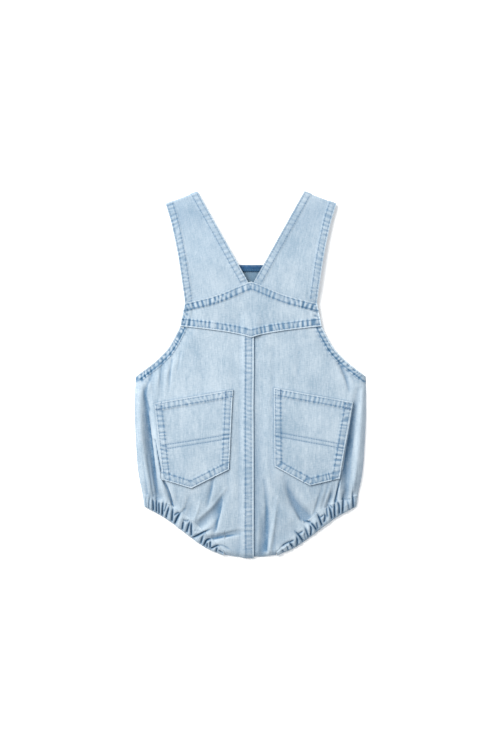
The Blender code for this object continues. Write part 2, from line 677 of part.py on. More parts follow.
def ring(work, centre, radius, sides, z):
    """A closed loop of vertices."""
    loop = []
    for angle in np.arange(sides) / sides * 2.0 * math.pi:
        spot = centre + radius * np.array([math.cos(angle), math.sin(angle)])
        loop.append(work.verts.new((*spot, z)))
    return loop


def join_rings(work, first, second):
    for a, b, c, d in zip(first, first[1:] + first[:1], second[1:] + second[:1], second):
        work.faces.new((a, b, c, d))


def button(name, side):
    """A sew-through button with four holes and a rounded edge, face down on the floor."""
    centre = np.array([side * BUTTON_AT.x, BUTTON_AT.y])
    small = BUTTON_RADIUS - BUTTON_EDGE
    work = bmesh.new()
    rings = [
        ring(work, centre, small, BUTTON_SIDES, 0.0),
        ring(work, centre, BUTTON_RADIUS, BUTTON_SIDES, BUTTON_EDGE),
        ring(work, centre, BUTTON_RADIUS, BUTTON_SIDES, BUTTON_THICK - BUTTON_EDGE),
        ring(work, centre, small, BUTTON_SIDES, BUTTON_THICK),
    ]
    for first, second in zip(rings, rings[1:]):
        join_rings(work, first, second)
    caps = [[rings[0]], [rings[-1]]]
    for dx in (-0.5, 0.5):
        for dy in (-0.5, 0.5):
            spot = centre + BUTTON_HOLE_SPACING * np.array([dx, dy])
            low = ring(work, spot, BUTTON_HOLE, BUTTON_HOLE_SIDES, 0.0)
            high = ring(work, spot, BUTTON_HOLE, BUTTON_HOLE_SIDES, BUTTON_THICK)
            join_rings(work, low, high)
            caps[0].append(low)
            caps[1].append(high)
    for loops in caps:
        edges = []
        for loop in loops:
            for a, b in zip(loop, loop[1:] + loop[:1]):
                edges.append(work.edges.get((a, b)))
        bmesh.ops.triangle_fill(work, use_beauty=True, use_dissolve=False, edges=edges)
    finish_mesh(name, work, "button")


def main():
    clear_scene()
    back_panel("back_panel_left", -1, CENTRE_LAP_EDGE, LAYER + LAP_SLACK)
    back_panel("back_panel_right", 1, CENTRE_UNDER_EDGE, -UNDER_PRESS)
    back_yoke()
    front_panel()
    for side, word in ((-1, "left"), (1, "right")):
        strap("strap_" + word, side)
        pocket("pocket_" + word, side)
        back_casing("leg_casing_back_" + word, side)
        front_casing("leg_casing_front_" + word, side)
        button("button_" + word, side)


main()
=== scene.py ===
"""Looks of a baby's bubble dungarees in light denim, laid flat with the back up.

The cloth shells follow the solids' own sizes on finer grids, with creases, puckered seams,
gathers, stitches and a washed denim finish. Metres, +Z up, the neck towards +Y.
"""

import math
from collections import namedtuple

import bmesh
import bpy
import numpy as np
from bpy.props import FloatProperty, FloatVectorProperty, IntProperty, PointerProperty
from bpy.types import Operator, Panel, PropertyGroup
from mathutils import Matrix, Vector
from mathutils.bvhtree import BVHTree


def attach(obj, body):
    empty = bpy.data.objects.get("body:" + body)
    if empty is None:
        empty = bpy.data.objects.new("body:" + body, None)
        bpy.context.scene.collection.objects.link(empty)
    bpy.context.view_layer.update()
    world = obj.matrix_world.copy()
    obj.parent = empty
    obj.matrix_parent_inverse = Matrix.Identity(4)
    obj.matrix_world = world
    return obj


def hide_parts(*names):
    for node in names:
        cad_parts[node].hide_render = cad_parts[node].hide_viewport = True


bl_info = {
    "name": "Bubble dungarees",
    "version": (1, 0, 0),
    "blender": (4, 5, 0),
    "location": "View3D > Sidebar > Dungarees",
    "description": "Makes the cloth, stitching, buttons and studio of a pair of baby's dungarees",
    "category": "Object",
}

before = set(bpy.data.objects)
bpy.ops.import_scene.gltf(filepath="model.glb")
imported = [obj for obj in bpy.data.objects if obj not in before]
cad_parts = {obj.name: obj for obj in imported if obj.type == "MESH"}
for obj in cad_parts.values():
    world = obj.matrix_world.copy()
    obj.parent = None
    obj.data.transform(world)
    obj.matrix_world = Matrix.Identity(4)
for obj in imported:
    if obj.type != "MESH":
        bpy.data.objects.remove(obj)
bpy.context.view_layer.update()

Point = namedtuple("Point", "x y")
Level = namedtuple("Level", "y height")
Crease = namedtuple("Crease", "x0 y0 x1 y1 x2 y2 half_width start middle end")
Fold = namedtuple("Fold", "x0 y0 x1 y1 x2 y2 half_width start middle end steep")
Slit = namedtuple("Slit", "x0 y0 x1 y1 x2 y2 half_width depth")
PocketCorner = namedtuple("PocketCorner", "left_x left_y right_x right_y")
CasingRow = namedtuple("CasingRow", "share inside thickness gather")
StrapEdge = namedtuple("StrapEdge", "seed marks tint")
StrapTint = namedtuple("StrapTint", "plain at_shoulder")
PocketLook = namedtuple("PocketLook", "marks dark")
StitchRow = namedtuple("StitchRow", "cloth line below")
Swell = namedtuple("Swell", "height pitch_x pitch_y shift_x shift_y seed")


def tenths(kind, rows, shares=0):
    """A table whose lengths are in tenths of a millimetre, but for its last columns, which are shares."""
    table = []
    for row in rows:
        lengths = len(row) - shares
        table.append(kind(*(value / 10000.0 for value in row[:lengths]), *row[lengths:]))
    return table


# Cloth and seams
LAP_SLACK = 0.0001
SEAM_GAP = 0.0003
SEAM_LAP = 0.009
HEM_STEP = 0.0015
CENTRE_LAP_EDGE = 0.0040
CENTRE_UNDER_EDGE = -0.0045
CENTRE_FLAT = 0.0065
CENTRE_RAMP = 0.0070
UNDER_PRESS = 0.0004
LEAN = 0.0007
LEAN_FROM_Y, LEAN_TO_Y = -0.040, 0.020

# Outline of the back, wearer's right half
ARMHOLE = tenths(Point, (
    (755, 834), (788, 650), (811, 558), (880, 420), (966, 282), (1104, 144), (1204, 66), (1323, -25),
))
PANEL_TOP_Y = 0.0650
SIDE = tenths(Point, ((1323, -25), (1330, -400), (1317, -753), (1292, -1098), (1241, -1374)))
CASING_SEAM = tenths(Point, (
    (1241, -1374), (889, -1507), (659, -1669), (500, -1825), (371, -1945), (297, -2018),
))
HEM = tenths(Point, ((1220, -1516), (965, -1659), (690, -1866), (500, -1996), (308, -2076)))
CROTCH = tenths(Point, ((297, -2072), (160, -2094), (0, -2100)))
YOKE_TOP = tenths(Point, ((0, 1065), (100, 1030), (394, 910), (759, 814)))
YOKE_BOTTOM = tenths(Point, ((0, 425), (118, 458), (348, 500), (811, 558)))
YOKE_DIP = 0.0007
STRAP_OUTER = tenths(Point, (
    (755, 745), (762, 860), (790, 1060), (828, 1317), (868, 1524), (920, 1760), (981, 1960),
))
STRAP_INNER = tenths(Point, ((12, 985), (40, 1075), (612, 2104)))
STRAP_END_WIDTH = 0.030
STRAP_END_CORNER = 0.004
STRAP_FOLD_RADIUS = 0.0025
BIB_SIDE = tenths(Point, (
    (620, 1260), (655, 1000), (700, 780), (760, 560), (830, 410), (930, 250), (1080, 110), (1290, -45),
))
BIB_TOP = BIB_SIDE[0].y
BIB_HEM = 0.0076
FRONT_INSET = 0.0026
FRONT_CROTCH_INSET = 0.0048

# Heights of the top of the back cloth
BACK_LEVELS = tenths(Level, (
    (-2100, 52), (-1950, 60), (-1650, 78), (-1250, 92), (-800, 84), (-200, 66), (300, 58),
    (600, 62), (900, 76), (1280, 82), (1500, 68), (1800, 56), (2100, 50),
))
ARMHOLE_LEVELS = tenths(Level, ((-30, 30), (500, 40), (850, 66)))
ARMHOLE_FALL = 0.020
STRAP_START_Y = 0.110
SIDE_ROUND = 0.0095
CROTCH_ROUND = 0.0070
CASING_LEVEL = 0.0062
CASING_FALL = 0.0160

# The large creases, which the solids have too: a trough is positive and a ridge negative
CREASES = tenths(Crease, (
    (-1215, -180, -1150, -860, -1050, -1400, 85, 12, 50, 32),
    (-1270, -150, -1255, -800, -1150, -1340, 70, -8, -16, -10),
    (-990, -1190, -955, -1350, -885, -1500, 50, 10, 20, 22),
    (-300, -1360, -420, -1570, -600, -1750, 100, 8, 28, 30),
    (-80, -1800, -270, -1830, -500, -1880, 55, 6, 20, 26),
    (-700, -1380, -690, -1520, -740, -1660, 80, 4, 14, 18),
    (-1000, 150, -1010, -30, -1030, -240, 50, 8, 11, 3),
    (-1140, 60, -1130, -80, -1120, -220, 45, 6, 10, 3),
    (1232, -200, 1150, -800, 1095, -1420, 70, 10, 48, 34),
    (1290, -200, 1255, -800, 1190, -1320, 60, -8, -14, -10),
    (360, -1240, 480, -1480, 680, -1690, 120, 8, 32, 34),
    (170, -1560, 160, -1800, 140, -2060, 70, 6, 22, 18),
    (280, -1560, 250, -1800, 190, -2050, 60, -4, -12, -10),
    (1010, 120, 1090, -20, 1140, -180, 50, 8, 12, 4),
    (960, -1280, 930, -1400, 880, -1520, 50, 6, 18, 20),
    (-70, 300, -110, -700, -80, -1500, 120, 2, 8, 4),
    (130, 200, 120, -700, 130, -1500, 110, 2, 10, 4),
))

# Smaller folds of the back. A positive steep value narrows the fold on its right, going from
# its first point to its last, and a negative one on its left.
FOLDS = tenths(Fold, (
    (-1194, -270, -1133, -822, -1062, -1372, 28, 7, 38, 9, -0.40),
    (-1130, 6, -1205, -213, -1159, -408, 32, 4, 13, 10, -0.30),
    (-1091, -753, -1038, -1041, -1005, -1202, 19, 16, 32, 32, -0.20),
    (-1004, -1190, -937, -1340, -884, -1512, 19, 30, 34, 28, -0.30),
    (-1245, -581, -1234, -926, -1182, -1363, 28, 2, 6, 9, 0.00),
    (-1182, -926, -1142, -1190, -1113, -1397, 18, 2, 8, 9, 0.00),
    (-1021, 121, -1032, -6, -1044, -155, 26, 6, 9, 3, -0.30),
    (-906, 167, -926, -6, -935, -178, 32, 7, 11, 3, -0.30),
    (-808, 259, -826, 144, -854, 6, 26, 4, 5, 1, 0.00),
    (-325, -1443, -357, -1616, -394, -1788, 62, 12, 30, 20, -0.68),
    (-291, -1317, -429, -1501, -590, -1650, 34, -6, -12, -7, 0.00),
    (-412, -1144, -446, -1328, -486, -1501, 44, 5, 17, 8, -0.45),
    (-567, -1420, -607, -1570, -666, -1708, 24, -3, -9, -5, 0.00),
    (-693, -1397, -739, -1512, -774, -1627, 34, 2, 6, 7, 0.00),
    (-831, -1282, -843, -1409, -843, -1524, 40, 2, 5, 5, 0.00),
    (-440, -1840, -325, -1814, -187, -1777, 30, -3, -8, -3, 0.00),
    (388, -1144, 462, -1397, 595, -1639, 122, 3, 30, 34, 0.55),
    (307, -1420, 266, -1731, 210, -2053, 36, -4, -10, -9, 0.00),
    (158, -1213, 186, -1558, 175, -2018, 44, 4, 15, 16, 0.35),
    (89, -1443, 94, -1731, 89, -2018, 28, -1, -4, -3, 0.00),
    (825, -1271, 784, -1420, 730, -1593, 34, 3, 8, 8, 0.30),
    (905, -1213, 871, -1351, 830, -1512, 28, 2, 6, 6, 0.00),
    (618, -1213, 675, -1374, 733, -1489, 34, -2, -5, -3, 0.00),
    (1190, -339, 1130, -799, 1045, -1282, 48, 8, 23, 14, 0.35),
    (1061, -1098, 1013, -1282, 979, -1466, 20, 12, 20, 16, 0.00),
    (1176, -1236, 1178, -1328, 1176, -1432, 14, 5, 10, 9, 0.00),
    (1130, -1098, 1135, -1259, 1135, -1409, 34, -2, -5, -3, 0.00),
    (1244, -926, 1227, -1179, 1193, -1374, 26, 1, 5, 8, 0.00),
    (1003, 144, 1078, -6, 1129, -201, 26, 6, 10, 3, 0.30),
    (1078, 75, 1170, -40, 1227, -155, 24, 2, 4, 1, 0.00),
    (1233, -63, 1256, -293, 1227, -581, 46, 1, 5, 2, 0.00),
    (-210, 328, -199, -121, -222, -638, 70, 1, 4, 2, 0.00),
    (250, 282, 261, -121, 238, -638, 70, 2, 5, 2, 0.00),
    (572, 259, 537, -6, 572, -178, 80, 1, 4, 1, 0.00),
    (-544, 259, -567, 52, -532, -155, 80, 1, 3, 1, 0.00),
    (-222, -753, -256, -1041, -245, -1328, 60, 1, 5, 3, -0.20),
    (204, -753, 227, -1041, 261, -1271, 60, 1, 5, 3, 0.20),
), shares=1)

# The slits between the gathers, each from the hem up, some of them running on into the panel
SLITS = tenths(Slit, (
    (-1190, -1524, -1199, -1443, -1188, -1374, 11, 8),
    (-1165, -1541, -1159, -1455, -1142, -1363, 13, 9),
    (-1112, -1564, -1114, -1478, -1125, -1403, 15, 17),
    (-1075, -1581, -1075, -1478, -1073, -1391, 15, 15),
    (-1045, -1598, -1046, -1512, -1050, -1437, 14, 16),
    (-1010, -1621, -1004, -1524, -994, -1432, 17, 20),
    (-966, -1650, -946, -1570, -923, -1495, 15, 16),
    (-983, -1570, -960, -1495, -946, -1443, 11, 10),
    (-900, -1685, -895, -1616, -886, -1512, 15, 19),
    (-866, -1714, -836, -1644, -789, -1564, 18, 22),
    (-864, -1610, -826, -1588, -797, -1600, 13, 12),
    (-795, -1587, -762, -1549, -722, -1535, 16, 6),
    (-782, -1782, -770, -1708, -760, -1668, 15, 17),
    (-762, -1673, -728, -1680, -688, -1664, 13, 10),
    (-730, -1811, -710, -1742, -684, -1668, 17, 18),
    (-677, -1846, -677, -1754, -674, -1673, 14, 19),
    (-657, -1875, -544, -1816, -435, -1763, 16, 22),
    (-567, -1938, -550, -1875, -530, -1834, 13, 15),
    (-636, -1788, -590, -1795, -538, -1807, 11, 5),
    (-532, -1966, -498, -1902, -423, -1880, 17, 23),
    (-429, -1881, -291, -1857, -118, -1830, 20, 15),
    (-495, -1984, -495, -1947, -491, -1926, 11, 15),
    (-461, -1989, -458, -1935, -452, -1898, 13, 16),
    (-450, -1999, -394, -1970, -339, -1952, 15, 18),
    (-339, -1953, -279, -1976, -222, -2014, 15, 6),
    (-394, -2041, -383, -2000, -376, -1970, 15, 15),
    (-358, -2022, -325, -2041, -297, -2057, 13, 12),
    (1180, -1547, 1179, -1443, 1174, -1357, 14, 20),
    (1137, -1552, 1124, -1478, 1104, -1420, 14, 8),
    (1055, -1428, 1112, -1434, 1170, -1416, 11, 7),
    (1060, -1593, 1064, -1501, 1071, -1374, 14, 22),
    (1022, -1598, 1020, -1512, 995, -1437, 17, 17),
    (972, -1639, 967, -1547, 969, -1449, 15, 20),
    (969, -1455, 992, -1351, 1027, -1202, 14, 12),
    (937, -1656, 921, -1570, 889, -1489, 16, 20),
    (884, -1627, 879, -1558, 889, -1493, 13, 12),
    (945, -1530, 923, -1508, 896, -1494, 11, 9),
    (900, -1466, 920, -1397, 930, -1317, 16, 6),
    (851, -1691, 859, -1627, 850, -1579, 14, 15),
    (823, -1736, 797, -1662, 762, -1579, 16, 22),
    (776, -1771, 765, -1719, 759, -1677, 13, 12),
    (802, -1641, 830, -1623, 850, -1595, 11, 10),
    (765, -1794, 726, -1735, 677, -1687, 15, 22),
    (682, -1696, 646, -1685, 613, -1671, 13, 17),
    (695, -1852, 699, -1771, 673, -1702, 16, 18),
    (672, -1880, 647, -1805, 624, -1736, 14, 15),
    (641, -1898, 628, -1852, 622, -1794, 11, 9),
    (616, -1932, 562, -1850, 506, -1788, 16, 22),
    (537, -1978, 541, -1915, 530, -1840, 16, 18),
    (549, -1830, 583, -1812, 615, -1786, 11, 11),
    (503, -2007, 468, -1953, 440, -1915, 16, 22),
    (450, -1927, 480, -1910, 509, -1895, 11, 13),
    (445, -1922, 399, -1945, 344, -1988, 14, 12),
    (440, -2036, 429, -1991, 415, -1956, 13, 12),
    (396, -2053, 377, -2030, 367, -1999, 13, 12),
))

POCKET_CORNERS = {
    "inner_top": PocketCorner(-0.0202, -0.0173, 0.0267, -0.0152),
    "outer_top": PocketCorner(-0.1100, -0.0328, 0.1170, -0.0316),
    "outer_bottom": PocketCorner(-0.1002, -0.1202, 0.1021, -0.1190),
    "point": PocketCorner(-0.0677, -0.1302, 0.0682, -0.1272),
    "inner_bottom": PocketCorner(-0.0244, -0.1087, 0.0277, -0.1051),
}
POCKET_EDGE_RISE = 0.0004
POCKET_HEM_RISE = 0.0004
POCKET_ROWS_AT = (0.560, 0.612)

CASING_ROWS = (
    CasingRow(0.00, 0.0043, 0.0020, 0.30),
    CasingRow(0.15, 0.0041, 0.0015, 0.70),
    CasingRow(0.50, 0.0036, 0.0020, 1.00),
    CasingRow(0.85, 0.0027, 0.0017, 0.80),
    CasingRow(1.00, 0.0023, 0.0010, 0.40),
)
CASING_ROUND = 0.0065
CASING_WALL = 0.0018
CASING_GAP = 0.00005
CASING_SINK = 0.8
CASING_WIDTH = 0.016
CASING_FULLNESS = 1.5
CASING_THINNEST = 0.0005
CASING_LEAST_AT_SEAM, CASING_LEAST_AT_HEM = 0.0024, 0.0016
SCALLOP_OUT, SCALLOP_IN = 0.0005, 0.0014
CROTCH_END = 0.012
CROTCH_FLATTEN = 0.9
FRONT_CASING = 0.0017
FRONT_CASING_INSET = 0.0060

BUTTON_AT = Point(0.0535, 0.1080)
BUTTON_TO_STRAP_END = 0.013
BUTTON_RADIUS = 0.0075
BUTTON_THICK = 0.0020
BUTTON_CLEARANCE = 0.0026
BUTTON_RIM, BUTTON_SLOPE, BUTTON_DISH = 0.0014, 0.0004, 0.0005
BUTTON_HOLE, BUTTON_HOLE_AT = 0.0009, 0.0013
BUTTON_BEVEL = 0.00035
STRAP_CLEARANCE = 0.0185
LIFT_FALL = 0.012

SWELLS = (
    Swell(0.00030, 0.034, 0.046, 7.3, 3.1, 3),
    Swell(0.00010, 0.012, 0.019, 1.7, 5.9, 4),
)

# Where the two needles of a seam run, from the edge, and the grooves that they leave
CENTRE_NEAR_ROW = 0.0030
CENTRE_FAR_ROW = 0.0092
NEAR_ROW = 0.0018
FAR_ROW = 0.0079
ARMHOLE_ROW = 0.0058
NEAR_GROOVE, FAR_GROOVE, STRAP_GROOVE = 0.0007, 0.0009, 0.0008
GROOVE_DEPTH = 0.00018
NEAR_DARK = 0.20
PUCKER_PITCH = 0.0054
PUCKER_REACH = 0.0045
PUCKER_DRIFT_PITCH, PUCKER_LEAN_PITCH, PUCKER_STRENGTH_PITCH = 0.0085, 0.017, 0.011

# How a seam or turned hem looks: its height, how deep its puckers are and how strongly they mark it, how
# they lean, where its far row runs, how dark that row and the band are, how wide the pale edge is, and
# how much steadier the far row is than the rest
BandLook = namedtuple("BandLook", "rise pucker marks slant row dark tint edge steady",
                      defaults=(0.0, 0.00022, 0.5, 0.0, FAR_ROW, 0.42, 0.08, 0.0011, 0.0))
ARMHOLE_LOOK = BandLook(pucker=0.00036, marks=0.95, slant=0.7, row=ARMHOLE_ROW, dark=1.35, tint=0.16,
                        edge=0.0016, steady=0.35)
LAP_LOOK = BandLook(rise=0.0001, pucker=0.00016, marks=0.34, row=CENTRE_FAR_ROW, dark=0.55, tint=0.28,
                    edge=0.0017)
YOKE_TOP_LOOK = BandLook(pucker=0.00032, marks=0.80, dark=0.62, tint=0.30, edge=0.0007)
YOKE_BOTTOM_LOOK = BandLook(pucker=0.00030, marks=0.84, dark=0.50, tint=0.30)
YOKE_SIDE_LOOK = BandLook(slant=0.7)
POCKET_LOOK = BandLook(tint=0.16)
BIB_TOP_LOOK = BandLook(pucker=0.0)
BIB_SIDE_LOOK = BandLook(pucker=0.00012)
ARMHOLE_HEM_LESS = 0.0013
LAP_WIDTH = 0.0106
YOKE_SIDE_WIDTH = 0.0050

# Rubbing, dye and painted light, from 1, pale for worn edges and painted highlights, to -1, deep blue for
# dye along seams and painted shade, and -2, nearly black for painted shadow in slits and fold bottoms
EDGE_WEAR = 0.9
INNER_WEAR = -0.25
EDGE_KEEPS_CLEAR = 0.6
MARKS_STEP = 0.0010
MARKS_BEYOND, PUCKER_BEYOND = 0.38, 0.35
BAND_BLUER = 0.25
# Painted contact shadow beside sewn-on pieces and along the edge of the centre lap
OUTLINE_SHADE = 0.60
OUTLINE_REACH = 0.0009
LAP_SHADE = 1.0
# Painted shade in fold bottoms, hollows and slits, and painted highlight on ridges
DARK_FOLD = 0.0026
CRISP_FOLD = 0.0055
FOLD_SHADE = 0.95
HOLLOW_SHADE = 0.55
HOLLOW_DEPTH = 0.0009
HOLLOW_PASSES = 24
DARK_SLIT = 0.0017
SLIT_SHADE, CASING_SLIT_SHADE = 1.4, 1.5
# Painted highlight on the crowns of the gathers, painted shade in halos round the slits and painted shadow
# in the slits
CROWN_HIGHLIGHT, CASING_TINT, HALO_SHADE = 0.62, 0.10, 0.75
CASING_THREADS, CASING_THREAD_PITCH = 0.34, 0.0017
# Painted shade in the hollows of the yoke and pockets, painted highlight on their ridges
YOKE_HOLLOW_SHADE, POCKET_HOLLOW_SHADE = 0.5, 0.5
YOKE_BUNCH_TINT = 0.05
# Painted shade at the left side's rounding, at the crotch, and low on the right panel, darkest beside the
# lap
SIDE_SHADE = 0.55
CROTCH_SHADE = 0.34
PAINTED_SHADE_REACH = 0.014
LOW_FROM_Y, LOW_OVER = -0.030, 0.090
LOW_SHADE, LAP_SIDE_SHADE = 0.10, 0.30
LAP_SIDE_X, LAP_SIDE_WIDTH = 0.0075, 0.0055
SHOULDER_SHADE_Y, SHOULDER_SHADE_REACH = 0.184, 0.020
# Painted shade on the straps: all over, stronger on the left, and in the middle below the shoulder
STRAP_SHADES = {-1: StrapTint(0.12, 0.26), 1: StrapTint(0.05, 0.28)}
STRAP_EDGES = (StrapEdge(91, 0.46, 0.06), StrapEdge(95, 0.32, 0.04))
STRAP_PUCKER = 0.00026
STRAP_BLUER, STRAP_ROW_DARK, STRAP_EDGE_WEAR = 0.30, 0.34, 0.5
POCKET_LOOKS = {-1: PocketLook(0.48, 0.50), 1: PocketLook(0.62, 0.64)}

# Gathers at the leg casings, and what they do to the panels above them
ROOM_FOR_A_RIDGE = 0.0021
FULL_SLIT = 0.0015
SLIT_NEAR_X, SLIT_NEAR_Y = 0.030, 0.022
DEEPEST_SLIT = 0.0022
GATHER_SWELL, SWELL_LEVEL, SWELL_REACH = 0.0018, 0.6, 0.0050
GATHER_PUSH, PUSH_LEVEL, PUSH_REACH = 0.0014, 0.35, 0.0035
DIP_AT_CASING, DIP_SLOPE = 0.0034, 0.6
POCKET_DIP = 0.55
LIE_ON_FRONT_BEND = 0.0005

# Bib
UP = np.array([0.0, 0.0, 1.0])
BIB_EDGE, BIB_EDGE_FALL = 0.0008, 0.0003
BIB_HEM_CLEARANCE, BIB_HEM_PUCKER = 0.0002, 0.00012
BIB_SIDES_SHOW_BELOW = 0.110
BIB_HEM_SLUBS = 2.0
FRONT_TINT = 0.3

# Yoke and pockets
YOKE_BUNCH, YOKE_BUNCH_REACH = 0.5, 0.017
YOKE_LAP_FALL = 0.024
YOKE_DRAWN, YOKE_DRAWN_PITCH, YOKE_DRAWN_REACH = 0.00030, 0.0062, 0.016
POCKET_ROW_GROOVE, POCKET_ROW_WIDTH, POCKET_ROW_DARK = 0.00022, 0.0011, 0.42
POCKET_CLEARANCE = 0.0001
TACK_ROWS = 4
TACK_PITCH = 0.0004
TACK_LENGTH = 0.0088

# Fineness
SHARP_DEGREES = 60.0
CURVE_POINTS = 60
CURVE_STEPS = 16
CREASE_POINTS = 12
SLIT_POINTS = 14
SPOTS_AT_ONCE = 20000
LINE_VALUES = 512
PLANE_VALUES = 128
LEVEL_BLUR = 0.006
CASING_ACROSS = 30
FRONT_CASING_ROWS, FRONT_CASING_COLUMNS = 14, 180
STRAP_MIDDLES, STRAP_FRONT_ROWS = 30, 92
YOKE_MIDDLES = 34
HEM_ROWS = 11
FOLD_ANGLES = 14
BIB_HEM_ROWS = 12
ROW_POINTS = 80

# Lengths of cloth that the grids' points are counted from
ARMHOLE_RUN, SIDE_RUN, CROTCH_RUN, LEG_RUN = 0.098, 0.150, 0.027, 0.104
YOKE_RUN, STRAP_RUN = 0.082, 0.120
POCKET_INNER_RUN, POCKET_OUTER_RUN, POCKET_DOWN_RUN = 0.047, 0.038, 0.096
BIB_RUN, FRONT_SIDE_RUN, FRONT_ACROSS_RUN, BIB_HEM_RUN = 0.168, 0.134, 0.130, 0.0635


# ---- Numbers and lines ----


def ease(t):
    """0 to 1 with level ends."""
    t = np.clip(t, 0.0, 1.0)
    return t * t * (3.0 - 2.0 * t)


def quarter_round(t):
    """0 to 1 along a quarter of an ellipse, upright at 0."""
    t = np.clip(t, 0.0, 1.0)
    return np.sqrt(1.0 - (1.0 - t) ** 2)


def mix(a, b, t):
    """From a at 0 to b at 1."""
    return a + (b - a) * t


def unit(vector):
    """The vector at length 1."""
    return np.asarray(vector) / np.linalg.norm(vector)


def wander(s, seed):
    """Smooth random values from -1 to 1 along a line, one new value a unit."""
    table = np.random.RandomState(seed).uniform(-1.0, 1.0, LINE_VALUES)
    low = np.floor(s).astype(int)
    return mix(table[low % LINE_VALUES], table[(low + 1) % LINE_VALUES], ease(s - low))


def mottle(x, y, seed):
    """Smooth random values from -1 to 1 over a plane, one new value a unit each way."""
    table = np.random.RandomState(seed).uniform(-1.0, 1.0, (PLANE_VALUES, PLANE_VALUES))
    left, low = np.floor(x).astype(int), np.floor(y).astype(int)
    u, v = ease(x - left), ease(y - low)
    left, right = left % PLANE_VALUES, (left + 1) % PLANE_VALUES
    low, high = low % PLANE_VALUES, (low + 1) % PLANE_VALUES
    below = mix(table[low, left], table[low, right], u)
    return mix(below, mix(table[high, left], table[high, right], u), v)


def hump(distance, width):
    """1 at no distance, falling off softly over this width."""
    return np.exp(-((distance / width) ** 2))


def within(gap, width):
    """1 inside a hem of this width, 0 beyond the step at its end."""
    return 1.0 - ease((gap - width) / HEM_STEP)


def run_of(line):
    """How far along a line each of its points is."""
    return np.concatenate([[0.0], np.cumsum(np.linalg.norm(np.diff(line, axis=0), axis=1))])


def points_at(line, distances):
    """The points so far along a line."""
    line = np.asarray(line, float)
    run = run_of(line)
    return np.stack([np.interp(distances, run, line[:, k]) for k in range(line.shape[1])], axis=1)


def even(line, count):
    """So many evenly spaced points along a line."""
    return points_at(line, np.linspace(0.0, run_of(np.asarray(line, float))[-1], count))


def crowded(line, count, power):
    """Points along a line, closer together towards its far end."""
    length = run_of(np.asarray(line, float))[-1]
    return points_at(line, length * (1.0 - (1.0 - np.linspace(0.0, 1.0, count)) ** power))


def smooth(points, count):
    """A Catmull-Rom curve through the points, evenly spaced."""
    p = np.asarray(points, float)
    p = np.vstack([2 * p[0] - p[1], p, 2 * p[-1] - p[-2]])
    fine = []
    t = np.linspace(0.0, 1.0, CURVE_STEPS, endpoint=False)[:, None]
    for a, b, c, d in zip(p, p[1:], p[2:], p[3:]):
        bend = 2 * a - 5 * b + 4 * c - d
        twist = 3 * b - a - 3 * c + d
        fine.append(0.5 * (2 * b + (c - a) * t + bend * t**2 + twist * t**3))
    fine.append(p[-2][None])
    return even(np.vstack(fine), count)


def mirrored(points, side):
    """Points of the wearer's right half, on the side that is asked for."""
    return np.asarray(points, float) * np.array([side, 1.0])


def both_sides(half):
    """A line from its mirrored far end, over the middle, to its far end."""
    half = np.asarray(half, float)
    return np.vstack([mirrored(half[:0:-1], -1), half])


def nearest_on(line, x, y):
    """Distance of each point from a line, how far along the nearest spot is, and its side."""
    shape = np.shape(x)
    spots = np.column_stack([np.ravel(x), np.ravel(y)])
    start, step = line[:-1], np.diff(line, axis=0)
    square = np.maximum((step**2).sum(-1), 1e-12)
    gap, share, turn = [], [], []
    for part in np.array_split(spots, max(1, len(spots) // SPOTS_AT_ONCE)):
        spot = part[:, None]
        t = np.clip(((spot - start) * step).sum(-1) / square, 0.0, 1.0)
        off = spot - start - t[..., None] * step
        away = np.sqrt((off**2).sum(-1))
        best = away.argmin(-1)
        pick = np.arange(len(part))
        gap.append(away[pick, best])
        share.append((best + t[pick, best]) / len(step))
        way = step[best]
        turn.append(np.sign(way[:, 0] * off[pick, best, 1] - way[:, 1] * off[pick, best, 0]))
    return [np.concatenate(values).reshape(shape) for values in (gap, share, turn)]


def distance_to(line, x, y):
    """Distance of each place from a line."""
    return nearest_on(line, x, y)[0]


def distance_to_pair(lines, x, y):
    """Distance of each place from the nearer of two lines."""
    return np.minimum(distance_to(lines[0], x, y), distance_to(lines[1], x, y))


def level_at(levels, y):
    """Height from a table of levels, with its corners blurred."""
    ys = [row.y for row in levels]
    heights = [row.height for row in levels]
    blur = np.linspace(-LEVEL_BLUR, LEVEL_BLUR, 5)
    return np.mean([np.interp(y + shift, ys, heights) for shift in blur], axis=0)


ARMHOLE_LINES = [smooth(mirrored(ARMHOLE, side), CURVE_POINTS) for side in (-1, 1)]
SIDE_LINES = [smooth(mirrored(SIDE, side), CURVE_POINTS) for side in (-1, 1)]
CASING_LINES = [smooth(mirrored(CASING_SEAM, side), CURVE_POINTS) for side in (-1, 1)]
HEM_LINES = [smooth(mirrored(HEM, side), CURVE_POINTS) for side in (-1, 1)]
CROTCH_LINE = both_sides(CROTCH[::-1])
FOLD_OUTER = np.array(STRAP_OUTER[-1])
FOLD_INNER = np.array(STRAP_INNER[-1])
FOLD_WAY = unit([FOLD_INNER[1] - FOLD_OUTER[1], FOLD_OUTER[0] - FOLD_INNER[0]])
STRAP_WAY = unit((FOLD_OUTER + FOLD_INNER) / 2 - np.array(BUTTON_AT))
STRAP_ACROSS = np.array([STRAP_WAY[1], -STRAP_WAY[0]])
STRAP_END = np.array(BUTTON_AT) - BUTTON_TO_STRAP_END * STRAP_WAY
STRAP_SPINES = [mirrored([BUTTON_AT, (FOLD_OUTER + FOLD_INNER) / 2], side) for side in (-1, 1)]
BUTTON_SPOTS = [np.array([[side * BUTTON_AT.x, BUTTON_AT.y]] * 2) for side in (-1, 1)]


# ---- Surfaces ----


def crease_depth(x, y):
    """How deep the large creases are."""
    total = np.zeros_like(x)
    for row in CREASES:
        line = smooth([(row.x0, row.y0), (row.x1, row.y1), (row.x2, row.y2)], CREASE_POINTS)
        gap, share, _ = nearest_on(line, x, y)
        depth = np.interp(share, [0.0, 0.5, 1.0], [row.start, row.middle, row.end])
        total += depth * 0.5 * (1.0 + np.cos(math.pi * np.minimum(gap / row.half_width, 1.0)))
    return total


